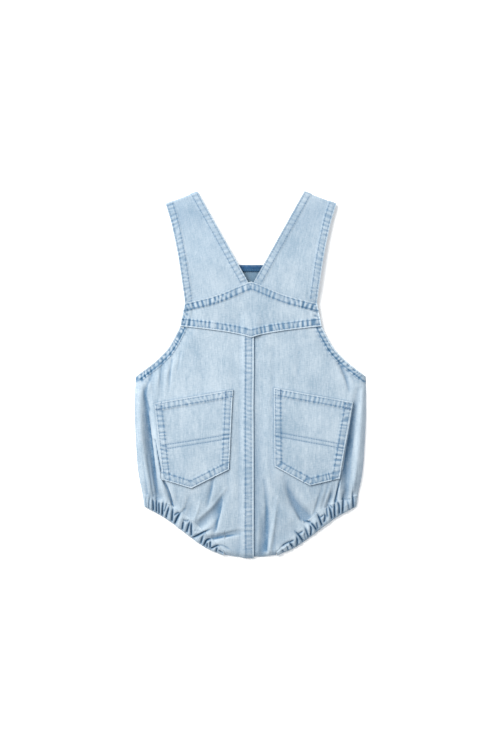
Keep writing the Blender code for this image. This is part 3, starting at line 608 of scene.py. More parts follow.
def back_top(x, y):
    """Height of the top of the back's cloth as the solids have it."""
    height = level_at(BACK_LEVELS, y)
    to_armhole = ease(distance_to_pair(ARMHOLE_LINES, x, y) / ARMHOLE_FALL)
    height = np.where(y < STRAP_START_Y, mix(level_at(ARMHOLE_LEVELS, y), height, to_armhole), height)
    height = mix(CASING_LEVEL, height, ease(distance_to_pair(CASING_LINES, x, y) / CASING_FALL))
    height = height - crease_depth(x, y)
    at_side = quarter_round(distance_to_pair(SIDE_LINES, x, y) / SIDE_ROUND)
    return height * at_side * quarter_round(distance_to(CROTCH_LINE, x, y) / CROTCH_ROUND)


def folds(x, y):
    """How deep the smaller folds are, each with a steeper flank, and how much painted shade their bottoms
    get, 0 to 1.
    """
    total, shade = np.zeros_like(x), np.zeros_like(x)
    for row in FOLDS:
        line = smooth([(row.x0, row.y0), (row.x1, row.y1), (row.x2, row.y2)], CREASE_POINTS)
        gap, share, turn = nearest_on(line, x, y)
        t = np.minimum(gap / (row.half_width * (1.0 + row.steep * turn)), 1.0)
        depth = np.interp(share, [0.0, 0.5, 1.0], [row.start, row.middle, row.end])
        total += depth * mix(0.5 * (1.0 + np.cos(math.pi * t)), (1.0 - t) ** 1.5, 0.5)
        crisp = min(1.0, CRISP_FOLD / row.half_width) ** 2
        shade = np.maximum(shade, crisp * np.minimum(depth / DARK_FOLD, 1.0) * (1.0 - t) ** 2.2)
    return total, shade


def slits(x, y):
    """How deep the slits between the gathers are, and how far each place is out of them, 0 to 1."""
    depth, crown = np.zeros_like(x), np.ones_like(x)
    for row in SLITS:
        near = (np.abs(x - row.x1) < SLIT_NEAR_X) & (np.abs(y - row.y1) < SLIT_NEAR_Y)
        if not near.any():
            continue
        line = smooth([(row.x0, row.y0), (row.x1, row.y1), (row.x2, row.y2)], SLIT_POINTS)
        gap, share, _ = nearest_on(line, x[near], y[near])
        fade = 1.0 - 0.75 * ease((share - 0.55) / 0.45)
        beyond = np.where((share <= 0.0) | (share >= 1.0), 1.6, 1.0)
        core = (1.0 - np.minimum(gap * beyond / row.half_width, 1.0)) ** 1.3
        depth[near] = np.maximum(depth[near], row.depth * fade * core)
        away = 1.0 - np.exp(-((gap / ROOM_FOR_A_RIDGE) ** 1.6)) * min(1.0, row.depth / FULL_SLIT) * fade
        crown[near] = np.minimum(crown[near], away)
    return depth, crown


def ripple(share, count, seed):
    """Uneven rounded waves from 0 to 1, for gathers that are out of sight."""
    drift = 0.55 * wander(share * count * 0.55, seed) + 0.25 * wander(share * count * 1.3, seed + 1)
    return np.abs(np.cos(math.pi * (share * count + drift))) ** 0.7


def uneven(x, y):
    """The slow rise and fall of cloth that was pressed once and worn since."""
    return sum(
        row.height * mottle(x / row.pitch_x + row.shift_x, y / row.pitch_y + row.shift_y, row.seed)
        for row in SWELLS
    )


def rope(run, away, seed, slant=0.0):
    """The twist of a puckered seam: patches and crossing ridges along it, from -1 to 1."""
    place = run / PUCKER_PITCH + 0.45 * wander(run / PUCKER_DRIFT_PITCH, seed + 1)
    lean = slant if slant else 0.75 * wander(run / PUCKER_LEAN_PITCH, seed)
    one = np.sin(2.0 * math.pi * (place + lean * away / FAR_ROW))
    other = np.sin(2.0 * math.pi * (0.87 * place - 0.8 * lean * away / FAR_ROW + 0.3))
    strength = 0.70 + 0.30 * wander(run / PUCKER_STRENGTH_PITCH, seed + 2)
    return np.tanh(1.7 * (0.70 * one + 0.45 * other) + 0.25) * strength


class Band:
    """A seam or turned hem of some width along a line, with its puckers."""

    def __init__(self, line, width, seed, look):
        self.line = even(line, CURVE_POINTS * 2)
        self.length = run_of(self.line)[-1]
        self.width, self.seed, self.look = width, seed, look

    def over(self, x, y):
        """Extra height and wear of the cloth at these places."""
        look = self.look
        gap, share, _ = nearest_on(self.line, x, y)
        inside = within(gap, self.width)
        beyond = np.exp(-np.maximum(gap - self.width, 0.0) / PUCKER_REACH)
        twist = rope(share * self.length, gap, self.seed, look.slant)
        near, far = hump(gap - NEAR_ROW, NEAR_GROOVE), hump(gap - look.row, FAR_GROOVE)
        height = look.rise * inside + look.pucker * twist * mix(PUCKER_BEYOND * beyond, 1.0, inside)
        height = height - GROOVE_DEPTH * (near + far) * inside
        marked = ease((gap - EDGE_KEEPS_CLEAR * look.edge) / MARKS_STEP) * inside
        tone = look.marks * (twist * (1.0 - look.steady * far) - BAND_BLUER) - look.tint
        wear = marked * tone - (NEAR_DARK * near + look.dark * far) * inside
        spread = MARKS_BEYOND * look.marks * twist * beyond * (1.0 - inside)
        wear = wear + EDGE_WEAR * hump(gap, look.edge) + spread
        return height, wear


def over_all(bands, x, y):
    """Heights of all the bands together, and at each place the wear of the one that marks it most."""
    height, wear = np.zeros_like(x), np.zeros_like(x)
    for band in bands:
        more_height, more_wear = band.over(x, y)
        height += more_height
        wear = np.where(np.abs(more_wear) > np.abs(wear), more_wear, wear)
    return height, wear


def outline_shade(line, x, y, depth=OUTLINE_SHADE):
    """Painted contact shadow on the cloth right beside a piece that is sewn on it."""
    return depth * hump(distance_to(np.asarray(line, float), x, y), OUTLINE_REACH)


def centre_share(x):
    """1 over the lapped centre seam, 0 beyond it."""
    return 1.0 - ease((np.abs(x) - CENTRE_FLAT) / CENTRE_RAMP)


def strap_front_bottom(x, y):
    """Height of the underside of a strap's front stretch, lifted over its button."""
    clear = BUTTON_RADIUS + BUTTON_CLEARANCE
    lift = 1.0 - ease((distance_to_pair(BUTTON_SPOTS, x, y) - clear) / LIFT_FALL)
    return (BUTTON_THICK + SEAM_GAP) * lift


def front_bottom(x, y, cloth):
    """Height of the underside of the front, lifted over the straps' ends."""
    lift = 1.0 - ease((distance_to_pair(STRAP_SPINES, x, y) - STRAP_CLEARANCE) / LIFT_FALL)
    return (BUTTON_THICK + 2.0 * SEAM_GAP + cloth) * lift


def patch(top, bottom, left, right, pull=1.0):
    """A Coons patch in x and y: rows run from top to bottom and columns from left to right."""
    lines = [np.asarray(line, float) for line in (top, bottom, left, right)]
    top, bottom, left, right = lines
    shares = [run_of(line) / run_of(line)[-1] for line in lines]
    u = (0.5 * (shares[0] + shares[1]))[None, :, None] ** pull
    v = (0.5 * (shares[2] + shares[3]))[:, None, None]
    ruled_both = mix(top[None], bottom[None], v) + mix(left[:, None], right[:, None], u)
    corners = mix(mix(top[0], top[-1], u), mix(bottom[0], bottom[-1], u), v)
    return ruled_both - corners


def ruled(first, last, steps, middles):
    """Points from one line to another: at set distances from both ends, with some between."""
    way = last - first
    near = np.array(steps)[None] / np.linalg.norm(way, axis=1)[:, None]
    between = np.arange(1, middles + 1) / (middles + 1)
    inner = mix(near[:, -1:], 1.0 - near[:, -1:], between[None])
    shares = np.hstack([near, inner, 1.0 - near[:, ::-1]])
    return first[:, None] + shares[..., None] * way[:, None]


def grid_normals(grid):
    """Upward normals of a grid of points."""
    normal = np.cross(np.gradient(grid, axis=0), np.gradient(grid, axis=1))
    normal /= np.maximum(np.linalg.norm(normal, axis=-1, keepdims=True), 1e-12)
    return normal * (-1.0 if normal[0, :, 2].sum() < 0 else 1.0)


def moved_out(grid, distance, normals=None):
    """The grid moved along its normals, where an edge that stands on the floor stays on it."""
    normals = grid_normals(grid) if normals is None else normals
    moved = grid + normals * np.asarray(distance)[..., None]
    moved[..., 2] = np.where(grid[..., 2] < 1e-6, 0.0, np.maximum(moved[..., 2], 0.0))
    return moved


def kept_above_front(z, share, cloth):
    """Heights of the back's cloth, no deeper than where it lies on the front, with a soft bend there."""
    over = z - 2.0 * cloth * share
    return z + 0.5 * (np.sqrt(over**2 + (LIE_ON_FRONT_BEND * share) ** 2) - over)


def softened(values, times):
    """Values of a grid averaged with their neighbours."""
    for _ in range(times):
        values = values.copy()
        values[1:-1] = 0.25 * values[:-2] + 0.5 * values[1:-1] + 0.25 * values[2:]
        values[:, 1:-1] = 0.25 * values[:, :-2] + 0.5 * values[:, 1:-1] + 0.25 * values[:, 2:]
    return values


def hollow(grid):
    """How deep each place lies below the cloth around it, about -1 to 1."""
    height = grid[..., 2]
    return np.clip((softened(height, HOLLOW_PASSES) - height) / HOLLOW_DEPTH, -1.0, 1.0)


def softened_grid(grid):
    """The grid with its sharpest ridges rounded off, for the far side of the cloth."""
    return np.dstack([softened(grid[..., k], 2) for k in range(3)])


def leant(points):
    """The upper part lies a little towards the wearer's right."""
    moved = np.array(points, float)
    moved[..., 0] += LEAN * ease((moved[..., 1] - LEAN_FROM_Y) / (LEAN_TO_Y - LEAN_FROM_Y))
    return moved


# ---- Meshes ----


def shell(name, outer, inner, weave, wear, finish, node):
    """A closed cloth wall between two grids, with its weave laid out and its wear on it."""
    rows, columns = outer.shape[:2]
    count = rows * columns
    points = leant(np.concatenate([outer.reshape(-1, 3), inner.reshape(-1, 3)]))
    index = np.arange(count).reshape(rows, columns)
    quads = np.stack([index[:-1, :-1], index[1:, :-1], index[1:, 1:], index[:-1, 1:]], -1).reshape(-1, 4)
    rim = np.concatenate([index[0, :], index[1:, -1], index[-1, -2::-1], index[-2:0:-1, 0]])
    ahead = np.roll(rim, -1)
    sides = np.stack([rim, ahead, ahead + count, rim + count], -1)
    faces = np.concatenate([quads, quads[:, ::-1] + count, sides])
    a, b, c = outer[0, 0], outer[1, 0], outer[0, 1]
    if np.cross(b - a, c - a)[2] < 0:
        faces = faces[:, ::-1]
    mesh = bpy.data.meshes.new(name)
    mesh.from_pydata(points, [], faces.tolist())
    mesh.shade_smooth()
    mesh.set_sharp_from_angle(angle=math.radians(SHARP_DEGREES))
    layout = np.concatenate([weave.reshape(-1, 2)] * 2)
    corners = np.empty(len(mesh.loops), dtype=np.int32)
    mesh.loops.foreach_get("vertex_index", corners)
    mesh.uv_layers.new(name="Weave").data.foreach_set("uv", layout[corners].ravel())
    marks = mesh.attributes.new("wear", "FLOAT", "POINT")
    marks.data.foreach_set("value", np.concatenate([wear.ravel(), np.full(count, INNER_WEAR)]))
    made = bpy.data.objects.new(name, mesh)
    bpy.context.scene.collection.objects.link(made)
    mesh.materials.append(finish)
    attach(made, "root")
    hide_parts(node)
    return made


def side_name(side):
    """The wearer's side in words."""
    return "left" if side < 0 else "right"


def made_before(name):
    """Clear a piece away before it is made again."""
    old = bpy.data.objects.get(name)
    if old:
        bpy.data.objects.remove(old)


# ---- Materials ----


class Value:
    """A number in a material's nodes: sums and products of it add Math nodes."""

    def __init__(self, nodes, socket):
        self.nodes, self.socket = nodes, socket

    def _math(self, operation, first, second=None):
        inputs = {0: first} if second is None else {0: first, 1: second}
        return self.nodes.add("ShaderNodeMath", {"operation": operation}, inputs)

    def __add__(self, other):
        return self._math("ADD", self, other)

    def __sub__(self, other):
        return self._math("SUBTRACT", self, other)

    def __mul__(self, other):
        return self._math("MULTIPLY", self, other)

    def __radd__(self, other):
        return self._math("ADD", other, self)

    def __neg__(self):
        return self._math("MULTIPLY", self, -1.0)

    def sine(self):
        return self._math("SINE", self)

    def limited(self):
        """Kept from 0 to 1."""
        return self._math("MINIMUM", self._math("MAXIMUM", self, 0.0), 1.0)


class Nodes:
    """The node tree of one new material."""

    def __init__(self, name):
        self.material = bpy.data.materials.get(name) or bpy.data.materials.new(name)
        self.material.use_nodes = True
        self.tree = self.material.node_tree
        self.tree.nodes.clear()

    def add(self, kind, settings=None, inputs=None, output=0):
        """A node with its settings, then its sockets' values or links."""
        node = self.tree.nodes.new(kind)
        for key, value in (settings or {}).items():
            if key == "stops":
                ramp = node.color_ramp
                while len(ramp.elements) < len(value):
                    ramp.elements.new(0.5)
                for element, (place, colour) in zip(ramp.elements, value):
                    element.position, element.color = place, colour
            else:
                setattr(node, key, value)
        for key, value in (inputs or {}).items():
            if isinstance(value, Value):
                self.tree.links.new(value.socket, node.inputs[key])
            else:
                node.inputs[key].default_value = value
        return Value(self, node.outputs[output]) if node.outputs else None

    def weave(self, across, along):
        """The piece's own weave layout, stretched to so many units a metre."""
        layout = self.add("ShaderNodeUVMap", {"uv_map": "Weave"})
        scale = (across, along, 1.0)
        return self.add("ShaderNodeMapping", {"vector_type": "POINT"}, {"Vector": layout, "Scale": scale})

    def threads(self, across, along, roughness=0.6):
        """Patches of threads on the weave, so many a metre each way, from -0.5 to 0.5."""
        sockets = {"Vector": self.weave(across, along), "Scale": 1.0, "Detail": 2.0, "Roughness": roughness}
        return self.add("ShaderNodeTexNoise", {"noise_dimensions": "2D"}, sockets) - 0.5

    def cloud(self, scale, detail):
        """Soft patches in space, so many a metre, from 0 to 1."""
        place = self.add("ShaderNodeTexCoord", None, None, 3)
        return self.add("ShaderNodeTexNoise", None, {"Vector": place, "Scale": scale, "Detail": detail})

    def blend(self, factor, first, second, how="MIX"):
        """One colour mixed into another."""
        settings = {"data_type": "RGBA", "blend_type": how, "clamp_factor": True}
        return self.add("ShaderNodeMix", settings, {0: factor, 6: first, 7: second}, 2)

    def finish(self, inputs):
        """Close the tree with a surface that has these values."""
        surface = self.add("ShaderNodeBsdfPrincipled", None, inputs)
        self.add("ShaderNodeOutputMaterial", None, {"Surface": surface})
        return self.material


def rgba(colour, strength=1.0):
    """A colour for a socket, made lighter or darker by its strength."""
    return (*(min(1.0, strength * part) for part in colour), 1.0)


def denim(name, blue, pale, worn, deep, dark):
    """Washed denim: pale slubs over blue, deeper blue along seams, paler on worn edges, with painted shade
    in hollows, folds and slits and painted highlights on ridges and gather crowns.
    """
    n = Nodes(name)
    wear = n.add("ShaderNodeAttribute", {"attribute_name": "wear"}, None, 2)
    across = n.threads(210.0, 1000.0)
    along = n.threads(1000.0, 110.0)
    speck = n.threads(700.0, 700.0, 0.7)
    streak = n.threads(360.0, 26.0)
    cloud = n.threads(105.0, 85.0)
    blotch = n.threads(34.0, 22.0, 0.5)
    fine = across * 0.95 + along * 1.15 + speck * 0.40
    slub = (0.5 + fine + streak * 0.55 + cloud * 0.50 + blotch * 1.15).limited()
    ground = n.blend(slub, rgba(blue), rgba(pale))
    # Above 0 the cloth turns paler, for worn edges and painted highlights; below 0 deeper blue, for dye
    # along the seams and painted shade; below -1 nearly black, for painted shadow in slits and fold bottoms
    mottled = wear * (0.85 + speck * 1.0 + cloud * 0.8)
    faded_and_lit = n.blend(mottled.limited() * 0.80, ground, rgba(worn))
    dyed_and_shaded = n.blend((-mottled).limited() * 0.88, faded_and_lit, rgba(deep))
    dyed_and_shaded = n.blend((-mottled - 1.0).limited() * 0.90, dyed_and_shaded, rgba(dark))
    x = n.add("ShaderNodeSeparateXYZ", None, {0: n.weave(1.0, 1.0)})
    y = n.add("ShaderNodeSeparateXYZ", None, {0: n.weave(1.0, 1.0)}, 1)
    twill = (x * 6200.0 + y * 7400.0).sine()
    relief = twill * 0.25 + across * 1.2 + along * 1.3 + speck * 0.6
    bump = n.add("ShaderNodeBump", None, {"Strength": 0.6, "Distance": 0.00025, "Height": relief})
    return n.finish({
        "Base Color": dyed_and_shaded,
        "Roughness": 0.88,
        "Specular IOR Level": 0.2,
        "Normal": bump,
    })


def thread_finish(name, colour):
    """Matt thread, a little uneven in its dye."""
    n = Nodes(name)
    shade = n.blend(n.cloud(900.0, 1.0), rgba(colour, 0.78), rgba(colour, 1.18))
    return n.finish({"Base Color": shade, "Roughness": 0.7, "Specular IOR Level": 0.3})


def button_finish(name, colour):
    """Satin plastic with a faint grain."""
    n = Nodes(name)
    cloud = n.cloud(260.0, 3.0)
    shade = n.blend(cloud, rgba(colour, 0.90), rgba(colour))
    grain = n.cloud(2600.0, 1.0)
    bump = n.add("ShaderNodeBump", None, {"Strength": 0.1, "Distance": 0.00005, "Height": grain})
    return n.finish({
        "Base Color": shade,
        "Roughness": cloud * 0.12 + 0.28,
        "Coat Weight": 0.3,
        "Normal": bump,
    })


def floor_finish(name, colour):
    """A matt pale floor that glows a little, as paper under studio lights does."""
    n = Nodes(name)
    shade = n.blend(n.cloud(1.5, 2.0), rgba(colour, 0.99), rgba(colour))
    return n.finish({"Base Color": shade, "Roughness": 0.95, "Specular IOR Level": 0.1,
                     "Emission Color": rgba([1.0, 1.0, 1.0]), "Emission Strength": 0.20})


# ---- Settings ----


class ClothSettings(PropertyGroup):
    cloth: FloatProperty(
        name="Cloth", description="Thickness of the denim", default=0.0011, unit="LENGTH", precision=4)
    hem_width: FloatProperty(
        name="Hem width", description="Width of the turned hems", default=0.0085, unit="LENGTH",
        precision=4)
    hem_rise: FloatProperty(
        name="Hem rise", description="How far a turned hem stands up", default=0.0006, unit="LENGTH",
        precision=4)
    grid: FloatProperty(
        name="Grid", description="Distance between points of the cloth", default=0.00095, unit="LENGTH",
        precision=5)
    casing_grid: FloatProperty(
        name="Casing grid", description="Distance between points along a casing", default=0.00036,
        unit="LENGTH", precision=5)
    gathers: IntProperty(
        name="Gathers", description="Number of gathers in the front half of a casing", default=19,
        min=4, max=40)
    gather_rise: FloatProperty(
        name="Gather rise", description="Height of the gathers", default=0.0019, unit="LENGTH", precision=4)


class StitchSettings(PropertyGroup):
    length: FloatProperty(
        name="Stitch", description="Length of one stitch", default=0.0023, unit="LENGTH", precision=4)
    gap: FloatProperty(
        name="Gap", description="Gap between two stitches", default=0.0006, unit="LENGTH", precision=4)
    thread: FloatProperty(
        name="Thread", description="Thickness of the thread", default=0.00042, unit="LENGTH", precision=5)


class ColourSettings(PropertyGroup):
    denim_blue: FloatVectorProperty(
        name="Denim", description="Blue of the warp", subtype="COLOR", size=3,
        default=(0.270, 0.365, 0.455))
    denim_pale: FloatVectorProperty(
        name="Slubs", description="Pale weft that shows in the washed cloth", subtype="COLOR", size=3,
        default=(0.450, 0.535, 0.610))
    # The worn colour is also the painted highlight on ridges and on the crowns of the gathers
    denim_worn_and_highlight: FloatVectorProperty(
        name="Worn edges", description="Cloth rubbed pale on edges and ridges", subtype="COLOR", size=3,
        default=(0.540, 0.640, 0.725))
    # The deep blue is also the painted shade in hollows and folds and beside sewn-on pieces
    denim_deep_and_shade: FloatVectorProperty(
        name="Deep blue", description="Dye kept in hollows and beside seams", subtype="COLOR", size=3,
        default=(0.078, 0.177, 0.303))
    # Painted shadow in the slits between gathers and in the darkest fold bottoms, and the darkest blue of
    # the bib hem
    denim_dark: FloatVectorProperty(
        name="Slits", description="Dye in the slits between gathers", subtype="COLOR", size=3,
        default=(0.022, 0.078, 0.152))
    inside_blue: FloatVectorProperty(
        name="Inside", description="Unworn inside of the cloth", subtype="COLOR", size=3,
        default=(0.110, 0.190, 0.270))
    inside_pale: FloatVectorProperty(
        name="Inside slubs", description="Pale threads of the inside", subtype="COLOR", size=3,
        default=(0.192, 0.280, 0.358))
    bib_hem: FloatVectorProperty(
        name="Bib hem", description="Darker cloth of the hem inside the bib's top", subtype="COLOR", size=3,
        default=(0.014, 0.048, 0.112))
    thread: FloatVectorProperty(
        name="Thread", description="Stitching", subtype="COLOR", size=3, default=(0.130, 0.225, 0.360))
    button: FloatVectorProperty(
        name="Buttons", description="Plastic of the buttons", subtype="COLOR", size=3,
        default=(0.55, 0.57, 0.57))


class StudioSettings(PropertyGroup):
    key_power: FloatProperty(
        name="Key light", description="Soft light from the upper left", default=54.5, unit="POWER")
    sky: FloatProperty(
        name="Sky", description="Even light from all round", default=0.575)
    floor: FloatVectorProperty(
        name="Floor", description="Pale floor", subtype="COLOR", size=3, default=(0.97, 0.97, 0.97))
    camera_height: FloatProperty(
        name="Camera height", description="Camera above the floor", default=2.40, unit="LENGTH")
    picture_height: FloatProperty(
        name="Picture height", description="Length of floor that the picture shows", default=0.8625,
        unit="LENGTH", precision=4)


# ---- Pieces ----


class MakesCloth:
    """What the operators that make cloth share."""

    bl_options = {"REGISTER", "UNDO"}

    def settings(self, context):
        """Take the sizes and colours from the sidebar."""
        self.size = context.scene.dungarees_cloth
        self.colours = context.scene.dungarees_colours

    def denim(self):
        """The denim that most pieces share."""
        tones = self.colours
        made = bpy.data.materials.get("Washed denim")
        return made or denim("Washed denim", tones.denim_blue, tones.denim_pale, tones.denim_worn_and_highlight,
                             tones.denim_deep_and_shade, tones.denim_dark)


class DUNGAREES_OT_back(MakesCloth, Operator):
    """Make the two back leg panels, lapped at the centre seam"""

    bl_idname = "dungarees.back"
    bl_label = "Back panels"

    def execute(self, context):
        self.settings(context)
        lap = self.size.cloth + SEAM_GAP + LAP_SLACK
        self.panel("back_panel_left", -1, CENTRE_LAP_EDGE, lap)
        self.panel("back_panel_right", 1, CENTRE_UNDER_EDGE, -UNDER_PRESS)
        return {"FINISHED"}

    def plan(self, side, centre_x):
        """Places of the panel's points, seen from above."""
        half = (side + 1) // 2
        armhole = ARMHOLE_LINES[half]
        step = self.size.grid
        down_top, down_side = int(ARMHOLE_RUN / step), int(SIDE_RUN / step)
        upper = even(armhole[armhole[:, 1] <= PANEL_TOP_Y], down_top)
        lower = crowded(SIDE_LINES[half], down_side, 1.15)
        outer_edge = np.vstack([upper, lower[1:]])
        top_start = np.array([centre_x - LEAN, YOKE_BOTTOM[0].y + SEAM_LAP])
        bottom_start = np.array([centre_x, CROTCH[-1].y])
        crotch = np.vstack([bottom_start, mirrored(CROTCH[:-1], side)[::-1]])
        crotch_count, leg_count = int(CROTCH_RUN / step), int(LEG_RUN / step)
        bottom = np.vstack([even(crotch, crotch_count), crowded(CASING_LINES[half][::-1], leg_count, 1.1)])
        top = crowded([top_start, upper[0]], crotch_count + leg_count, 1.1)
        centre = crowded([top_start, bottom_start], len(outer_edge), 1.15)
        return patch(top, bottom, centre, outer_edge, 2.0)

    def panel(self, name, side, centre_x, lap_rise):
        """One leg panel with its folds, hem and lap, worn pale in places, with painted shade and highlights.
        """
        made_before(name + "_cloth")
        size, half = self.size, (side + 1) // 2
        plan = self.plan(side, centre_x)
        x, y = plan[..., 0], plan[..., 1]
        slit, crown = slits(x, y)
        to_casing = distance_to(CASING_LINES[half], x, y)
        push = GATHER_PUSH * (crown - PUSH_LEVEL) * np.exp(-to_casing / PUSH_REACH)
        floor_edge = quarter_round(distance_to(SIDE_LINES[half], x, y) / SIDE_ROUND)
        floor_edge = floor_edge * quarter_round(distance_to(CROTCH_LINE, x, y) / CROTCH_ROUND)
        look = ARMHOLE_LOOK._replace(rise=size.hem_rise, slant=ARMHOLE_LOOK.slant * side)
        bands = [Band(ARMHOLE_LINES[half], size.hem_width - ARMHOLE_HEM_LESS, 60 + half, look)]
        if side < 0:
            lap_line = [(CENTRE_LAP_EDGE - LEAN, YOKE_BOTTOM[0].y), (CENTRE_LAP_EDGE, CROTCH[-1].y)]
            bands.append(Band(lap_line, LAP_WIDTH, 71, LAP_LOOK))
        more, wear = over_all(bands, x, y)
        fold, fold_shade = folds(x, y)
        swell = np.exp(-to_casing / SWELL_REACH) * GATHER_SWELL * (crown - SWELL_LEVEL)
        dip = fold + np.minimum(slit, DEEPEST_SLIT) - swell
        dip = np.minimum(dip, DIP_AT_CASING + DIP_SLOPE * to_casing - crease_depth(x, y))
        relief = more - dip + uneven(x, y)
        rise = relief * floor_edge + lap_rise * centre_share(x)
        outer = moved_out(np.dstack([x, y - push * floor_edge, back_top(x, y)]), rise)
        outer[..., 2] = kept_above_front(outer[..., 2], floor_edge, size.cloth)
        inner = moved_out(outer, -size.cloth, grid_normals(softened_grid(outer)))
        # Painted shade in hollows, slits and fold bottoms, painted highlight on ridges, and the painted
        # shade beside sewn-on pieces
        wear = wear - HOLLOW_SHADE * hollow(outer) - SLIT_SHADE * np.minimum(slit / DARK_SLIT, 1.0) ** 1.3
        wear = wear - FOLD_SHADE * fold_shade - self.painted_shade(side, x, y)
        made = shell(name + "_cloth", outer, inner, plan, wear, self.denim(), name)

    def painted_shade(self, side, x, y):
        """How much painted shade the panel gets: painted contact shadow beside what is sewn on it and at the
        lap's edge, and painted shade at the crotch, at the left side and low down on the right.
        """
        panel_shade = outline_shade(pocket_outline(side), x, y)
        panel_shade = panel_shade + outline_shade(both_sides(smooth(YOKE_BOTTOM, CURVE_POINTS)), x, y)
        panel_shade = panel_shade + CROTCH_SHADE * hump(distance_to(CROTCH_LINE, x, y), PAINTED_SHADE_REACH)
        if side < 0:
            return panel_shade + SIDE_SHADE * hump(distance_to(SIDE_LINES[0], x, y), PAINTED_SHADE_REACH)
        lap = [(CENTRE_LAP_EDGE, PANEL_TOP_Y), (CENTRE_LAP_EDGE, CROTCH[-1].y)]
        low = ease((LOW_FROM_Y - y) / LOW_OVER)
        beside_lap = LOW_SHADE + LAP_SIDE_SHADE * hump(x - LAP_SIDE_X, LAP_SIDE_WIDTH)
        return panel_shade + outline_shade(lap, x, y, LAP_SHADE) + beside_lap * low


class DUNGAREES_OT_yoke(MakesCloth, Operator):
    """Make the pointed back yoke on top of the straps and panels"""

    bl_idname = "dungarees.yoke"
    bl_label = "Back yoke"

    def execute(self, context):
        self.settings(context)
        made_before("back_yoke_cloth")
        size = self.size
        layer = size.cloth + SEAM_GAP + LAP_SLACK
        top_line = both_sides(smooth(YOKE_TOP, CURVE_POINTS))
        bottom_line = both_sides(smooth(YOKE_BOTTOM, CURVE_POINTS))
        columns = 2 * int(YOKE_RUN / size.grid) + 1
        steps = tuple(np.linspace(0.0, size.hem_width + HEM_STEP, HEM_ROWS))
        plan = ruled(even(top_line, columns), even(bottom_line, columns), steps, YOKE_MIDDLES)
        plan = plan.transpose(1, 0, 2)
        x, y = plan[..., 0], plan[..., 1]
        bands = [
            Band(top_line, size.hem_width, 81, YOKE_TOP_LOOK),
            Band(bottom_line, size.hem_width, 83, YOKE_BOTTOM_LOOK),
        ]
        for half, side in enumerate((-1, 1)):
            look = YOKE_SIDE_LOOK._replace(slant=YOKE_SIDE_LOOK.slant * side)
            bands.append(Band(ARMHOLE_LINES[half], YOKE_SIDE_WIDTH, 85 + half, look))
        more, wear = over_all(bands, x, y)
        armhole = distance_to_pair(ARMHOLE_LINES, x, y)
        bunched = 1.0 + YOKE_BUNCH * hump(armhole, YOKE_BUNCH_REACH)
        more, wear = more * bunched, wear * bunched - YOKE_BUNCH_TINT * (bunched - 1.0)
        to_seam = distance_to_pair([top_line, bottom_line], x, y)
        over_lap = centre_share(x) * (1.0 - ease((y - YOKE_BOTTOM[0].y - SEAM_LAP) / YOKE_LAP_FALL))
        hem = size.hem_rise * within(armhole, size.hem_width)
        drawn = YOKE_DRAWN * wander((x + 0.35 * y) / YOKE_DRAWN_PITCH, 87)
        drawn = drawn * np.exp(-distance_to(top_line, x, y) / YOKE_DRAWN_REACH)
        rise = layer * (1.0 + over_lap) + hem + more + drawn
        rise = rise - YOKE_DIP * ease((to_seam - size.hem_width) / HEM_STEP)
        outer = moved_out(np.dstack([x, y, back_top(x, y) + uneven(x, y)]), rise)
        inner = moved_out(outer, -size.cloth, grid_normals(softened_grid(outer)))
        # Painted shade in the yoke's hollows and painted highlight on its ridges
        wear = wear - YOKE_HOLLOW_SHADE * hollow(outer) * (1.0 - over_lap)
        made = shell("back_yoke_cloth", outer, inner, plan, wear, self.denim(), "back_yoke")
        return {"FINISHED"}


